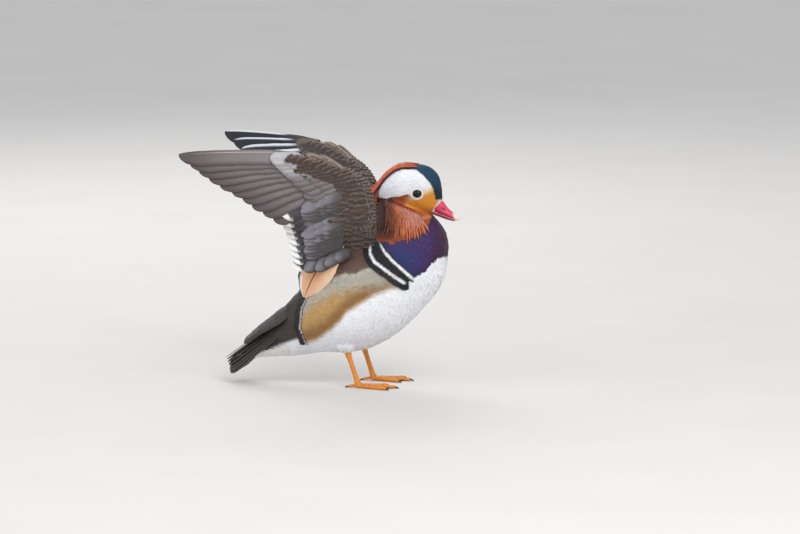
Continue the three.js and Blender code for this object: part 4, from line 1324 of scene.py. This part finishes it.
def bill_object(name, rows, painted_shade_scale, nostril_share):
    rings = loft_rings(rows, 70, 48, 0)
    rings[0] += [-BURIED_MM, 0, 0]
    p = rings.reshape(-1, 3)
    x, z = p[:, 0] - NOSTRIL["x"], p[:, 2] - NOSTRIL["z"]
    near = ((x * 0.8 - z * 0.6) / NOSTRIL["long"]) ** 2 + ((x * 0.6 + z * 0.8) / NOSTRIL["high"]) ** 2
    hole = np.clip(1 - near, 0, 1) * (np.abs(p[:, 1]) > 3) * nostril_share
    p[:, 1] -= np.sign(p[:, 1]) * NOSTRIL["deep"] * np.sqrt(hole)
    made = mesh_object(name, p, grid_faces(70, 48))
    tint = over(np.tile(CRIMSON, (len(p), 1)), ROSE, smooth(5, 1, np.abs(p[:, 1])) * 0.35)
    tint = over(tint, NAIL, smooth(101.5, 105.2, p[:, 0] + 0.2 * (p[:, 2] - 190)))
    # Painted shade: the pressed-in nostrils are darkened almost to black, for the shade inside them.
    tint = over(tint, linear(40, 8, 14), np.minimum(hole * 1.4, 1) * 0.85)
    # Painted shade: the whole tint is scaled by the given factor, which darkens the lower bill for the shade
    # under the upper one.
    store(made.data, "tint", "FLOAT_COLOR", tint * painted_shade_scale)
    return made


def waxy_material(name, roughness, scale, bump_mm, coat=0.0):
    material, tree, shader = new_material(name)
    cloud = clouds(tree, scale, 4.0)[1]
    wire(tree, shader, shaded(tree, affine(tree, cloud, 0.4, 0.8)), affine(tree, cloud, 0.18, roughness),
         cloud, 0.3, bump_mm, Coat_Weight=coat, Coat_Roughness=0.2)
    return material


horn_finish = waxy_material("bill_horn", 0.28, 320.0, 0.25, 0.25)
finish_piece(bill_object("bill_top", UPPER_BILL, 1.0, 1), horn_finish, "bill", "bill_upper")
# Painted shade: the lower bill's tint is scaled down to 0.55, for the shade under the upper bill along the
# mouth line.
finish_piece(bill_object("bill_base", LOWER_BILL, 0.55, 0), horn_finish, "bill", "bill_lower")
print("bill length in mm:", UPPER_BILL[-1, 0] - UPPER_BILL[0, 2])

# %% [markdown]
# A glass eye is what a model like this has: a dark ball with a brown iris under a clear, wet coat, set in
# lids of bare skin. The ball sits as deep as in the solids, and the lids are a thin ring round it.

# %% Eyes and lids
def eye_object(name, side):
    across, down = 40, 28
    a = np.linspace(0, 2 * pi, across, endpoint=False)[None, :]
    b = np.linspace(0.03, pi - 0.03, down)[:, None]
    ring = np.stack([np.sin(b) * np.cos(a), np.cos(b) + 0 * a, np.sin(b) * np.sin(a)], -1) * EYE["radius"]
    ring[..., 1] *= side
    p = (ring + [EYE["x"], side * EYE["y"], EYE["z"]]).reshape(-1, 3)
    faces = grid_faces(down, across)
    if side > 0:
        faces = [face[::-1] for face in faces]
    made = mesh_object(name, p, faces)
    out = (b + 0 * a).reshape(-1) * EYE["radius"]
    iris = smooth(2.5, 2.8, out) * smooth(4.6, 4.0, out)
    tint = over(np.tile(linear(5, 4, 4), (len(p), 1)), linear(24, 14, 10), iris)
    store(made.data, "tint", "FLOAT_COLOR", tint)
    return made


def lid_object(name, side):
    a = np.linspace(0, 2 * pi, 48, endpoint=False)[:, None]
    b = np.linspace(0, 2 * pi, 10, endpoint=False)[None, :]
    major, minor = EYE["radius"] - 0.65, 0.62
    r = major + minor * np.cos(b)
    open_share = 1 - 0.2 * np.sin(a) ** 2
    y = EYE["y"] + 2.75 - 0.35 * np.abs(np.cos(a)) + minor * np.sin(b)
    ring = np.stack([EYE["x"] + r * np.cos(a), side * y, EYE["z"] + r * np.sin(a) * open_share], -1)
    p = ring.reshape(-1, 3)
    faces = []
    for i in range(48):
        for j in range(10):
            k, m = (i + 1) % 48, (j + 1) % 10
            face = (i * 10 + j, i * 10 + m, k * 10 + m, k * 10 + j)
            faces.append(face if side > 0 else face[::-1])
    made = mesh_object(name, p, faces)
    store(made.data, "tint", "FLOAT_COLOR", np.tile(linear(24, 18, 18), (len(p), 1)))
    return made


eye_finish, tree, shader = new_material("glass_eye")
wire(tree, shader, shaded(tree, affine(tree, clouds(tree, 900.0, 2.0)[1], 0.5, 0.75)), 0.05,
     Specular_IOR_Level=0.3, Coat_Weight=0.15, Coat_Roughness=0.02)
lid_finish = waxy_material("lid_skin", 0.55, 1200.0, 0.1)
for name, side in (("R", -1), ("L", 1)):
    finish_piece(eye_object("eyeball_" + name, side), eye_finish, "eye", "eye_" + name)
    finish_piece(lid_object("lids_" + name, side), lid_finish, "head_plumage")
print("eye diameter in mm:", 2 * EYE["radius"])

# %% [markdown]
# The shank and toes are covered in scutes, a row of horny plates like roof slates. The tubes are modelled
# with a small step at each plate, and the web is a thin creased sheet between the toes.

# %% Legs and feet
ANKLE_Z, LEG_Y, INSTEP = 37.7, 28.0, 6.6
TOES = dict(middle=47.0, outer=41.0, inner=38.0, spread=0.42, hind=15.0)
ORANGE, ORANGE_DARK = linear(226, 138, 40), linear(176, 92, 26)
WEB, CLAW = linear(92, 74, 54), linear(46, 36, 30)


def tube(points, radii, sides, rings, plate_mm, squash=1.0, plate_depth=0.05, claw_from=2.0):
    """A tube through points with a step at each plate, kept above the floor, and its tint."""
    points, radii = np.array(points, float), np.array(radii, float)
    t = np.linspace(0, len(points) - 1, rings)
    path = catmull(points, t)
    radius = catmull(radii[:, None], t)[:, 0]
    walked = np.concatenate([[0], np.cumsum(np.linalg.norm(np.diff(path, axis=0), axis=1))])
    step = (walked / plate_mm) % 1.0
    along = unit(np.gradient(path, axis=0))
    across = unit(np.array([0, 1.0, 0]) - along * along[:, 1:2])
    up = np.cross(along, across)
    a = np.linspace(0, 2 * pi, sides, endpoint=False)
    front = smooth(-0.2, 0.6, np.sin(a))[None, :]
    r = radius[:, None] * (1 + plate_depth * (step[:, None] - 0.5) * 2 * front)
    p = path[:, None] + across[:, None] * (np.cos(a) * r)[..., None] * squash
    p += up[:, None] * (np.sin(a) * r)[..., None]
    p[..., 2] = np.maximum(p[..., 2], 0)
    groove = smooth(0.18, 0.0, step)[:, None] * front
    tint = ORANGE + (ORANGE_DARK - ORANGE) * (0.75 * groove)[..., None]
    return p, over(tint, CLAW, smooth(claw_from, claw_from + 0.02, walked / walked[-1])[:, None])


def tubes_object(name, tubes):
    made = mesh_object(name, *join_rings([p for p, tint in tubes]))
    store(made.data, "tint", "FLOAT_COLOR", np.concatenate([tint.reshape(-1, 3) for p, tint in tubes]))
    return made


scale_finish, tree, shader = new_material("leg_scutes")
place, cloud = clouds(tree, 160.0)
edge = add(tree, "ShaderNodeTexVoronoi", {"Vector": place, "Scale": 850.0}, feature="DISTANCE_TO_EDGE")
crack = math(tree, "MULTIPLY", edge.outputs["Distance"], 5.0, clamp=True)
shade = affine(tree, cloud, 0.3, affine(tree, crack, 0.28, 0.6))
wire(tree, shader, shaded(tree, shade), affine(tree, cloud, 0.25, 0.32), crack, 0.5, 0.2)


def shank(leg):
    side = leg["side"]
    y = side * LEG_Y
    foot = np.array([leg["foot"], y + side, INSTEP - 1.4])
    ankle = np.array([leg["ankle"], y - side, ANKLE_Z])
    thigh_end = np.array([leg["ankle"] - 4, y - side * 2, ANKLE_Z + 18])
    points = [foot, mix(foot, ankle, 0.3), mix(foot, ankle, 0.78), ankle, mix(ankle, thigh_end, 0.35),
              thigh_end]
    return tube(points, [3.5, 2.8, 2.8, 3.8, 3.4, 5.0], 20, 90, 2.5, 0.82, 0.07)


def toes_and_web(leg):
    side = leg["side"]
    heel = np.array([leg["foot"], side * (LEG_Y + 1), 0.0])

    def toe(end, shares, heights, *rest):
        return tube([heel + (end - heel) * s + [0, 0, h] for s, h in zip(shares, heights)], *rest)

    ends = []
    for name, turn in (("inner", -TOES["spread"]), ("middle", 0), ("outer", TOES["spread"])):
        ends.append(heel + np.array([cos(turn), side * sin(turn), 0]) * TOES[name])
    tubes = [toe(end, [0, 0.3, 0.6, 0.86, 0.93, 1], [2.7, 2.5, 2.0, 2.1, 1.6, 0.5],
                 [2.6, 2.3, 2.0, 1.8, 1.1, 0.35], 12, 60, 2.6, 1.0, 0.12, 0.9) for end in ends]
    hind = heel + np.array([-TOES["hind"], -side * 2, 0])
    tubes.append(toe(hind, [0, 0.4, 0.75, 1], [4.0, 2.6, 1.5, 0.4],
                     [2.2, 1.6, 1.2, 0.3], 12, 30, 2.4, 1.0, 0.1, 0.75))
    joint = [heel + [0, 0, 0.9], heel + [0.8, 0, 3.2], heel + [0, 0, INSTEP + 0.3]]
    tubes.append(tube(joint, [3.4, 4.0, 3.3], 20, 20, 2.4, 1.0, 0.05))
    top, under, tint = [], [], []
    s, w = np.linspace(0.06, 1, 26)[:, None], np.linspace(0, 1, 17)[None, :]
    for a, b in ((ends[0], ends[1]), (ends[1], ends[2])):
        a, b = heel + (a - heel) * 0.88, heel + (b - heel) * 0.88
        reach = s * (1 - 0.16 * np.sin(pi * w) ** 0.8 * s)
        sheet = heel + (mix(a, b, w[..., None]) - heel) * reach[..., None]
        crease = 0.22 * np.sin(w * pi * 7) * (0.4 + s)
        sheet[..., 2] = 1.15 + crease + 0.3 * np.abs(2 * w - 1) ** 3
        sheet = sheet[:, ::side]
        top.append(sheet + [0, 0, 0.25])
        under.append(sheet - [0, 0, 0.25])
        tint.append(over(filled(WEB, s, w), ORANGE_DARK, smooth(0.32, 0.5, np.abs(w - 0.5))))
    return tubes, [np.stack(part) for part in (top, under, tint, tint)]


for name, leg in LEGS.items():
    tubes, web = toes_and_web(leg)
    finish_piece(tubes_object("shank_" + name, [shank(leg)]), scale_finish, "leg_skin", "leg_" + name)
    finish_piece(sheet_object("web_" + name, *web), scale_finish, "leg_skin", "foot_" + name)
    finish_piece(tubes_object("toes_" + name, tubes), scale_finish, "leg_skin", "foot_" + name)
print("legs:", len(LEGS), "toes and joints on each:", len(tubes))

# %% [markdown]
# The skin and the coat are handed over to the frame last, once everything that reads them is built. The
# skin stands for every solid that is flesh and feather, so none of the plain solids shows.

# %% Skin and coat
finish_piece(skin, None, "body_plumage", "torso", "neck", "head", "tail", "wing_R", "wing_L")
for name, coat in coats.items():
    slot = dict(head_coat="head_plumage", arm_coat="wing_feathers").get(name, "body_plumage")
    finish_piece(coat, None, slot)
for feather in (body_feather, back_feather, silk_feather):
    bpy.data.objects.remove(feather)
print("pieces:", len(pieces), "triangles:", sum(triangles(piece.data) for piece in pieces))

# %% [markdown]
# The photograph was taken with a long lens, from a little above and with the bird turned slightly towards
# it. The camera stands nine metres off for the same flat perspective, and its aim and lens follow from
# the number of millimetres that a pixel of the picture covers.

# %% Camera, floor and lights
PICTURE = (800, 534)
PIXEL_MM = 1.13
ORIGIN_PIXEL = (364, 384)
YAW, ELEVATION = radians(8), radians(8)
DISTANCE_MM = 9000
SENSOR = 36.0
right = np.array([cos(YAW), sin(YAW), 0])
level = np.array([-sin(YAW), cos(YAW), 0])
forward = cos(ELEVATION) * level - sin(ELEVATION) * np.array([0, 0, 1])
upward = cos(ELEVATION) * np.array([0, 0, 1]) + sin(ELEVATION) * level
aim = right * (PICTURE[0] / 2 - ORIGIN_PIXEL[0]) * PIXEL_MM
aim += upward * (ORIGIN_PIXEL[1] - PICTURE[1] / 2) * PIXEL_MM
camera_data = bpy.data.cameras.new("camera")
camera_data.sensor_width = SENSOR
camera_data.lens = SENSOR * DISTANCE_MM / (PICTURE[0] * PIXEL_MM)
camera_data.clip_end = 60
camera = link_object("camera", camera_data)
camera.location = to_frame(aim - forward * DISTANCE_MM)
camera.rotation_euler = Vector(forward).to_track_quat("-Z", "Y").to_euler()
bpy.context.scene.camera = camera

floor_mesh = bpy.data.meshes.new("floor")
floor_mesh.from_pydata([(-9, -9, 0), (9, -9, 0), (9, 9, 0), (-9, 9, 0)], [], [(0, 1, 2, 3)])
floor = link_object("floor", floor_mesh)
floor_finish, tree, shader = new_material("floor_paint")
grain = clouds(tree, 6.0, 2.0)[1]
wire(tree, shader, blend_colour(tree, grain, (0.62, 0.60, 0.57), (0.67, 0.65, 0.62)), 0.85)
floor_mesh.materials.append(floor_finish)

LIGHTS = (("key", (0.9, -1.5, 1.7), 1.3, 26), ("fill", (-1.6, -1.2, 0.9), 1.6, 9),
          ("rim", (-0.6, 1.6, 1.4), 1.2, 14))
for name, place, size, power in LIGHTS:
    lamp = bpy.data.lights.new(name, "AREA")
    lamp.size, lamp.energy = size, power
    holder = link_object(name, lamp)
    holder.location = place
    holder.rotation_euler = (Vector((0, 0, 0.14)) - Vector(place)).to_track_quat("-Z", "Y").to_euler()
world = bpy.data.worlds.new("studio")
world.use_nodes = True
world.node_tree.nodes["Background"].inputs[0].default_value = (0.93, 0.95, 1.0, 1)
world.node_tree.nodes["Background"].inputs[1].default_value = 0.8
bpy.context.scene.world = world
bpy.context.scene.view_settings.view_transform = "Standard"
print("lens in mm:", round(camera_data.lens, 1), "lights:", len(LIGHTS))
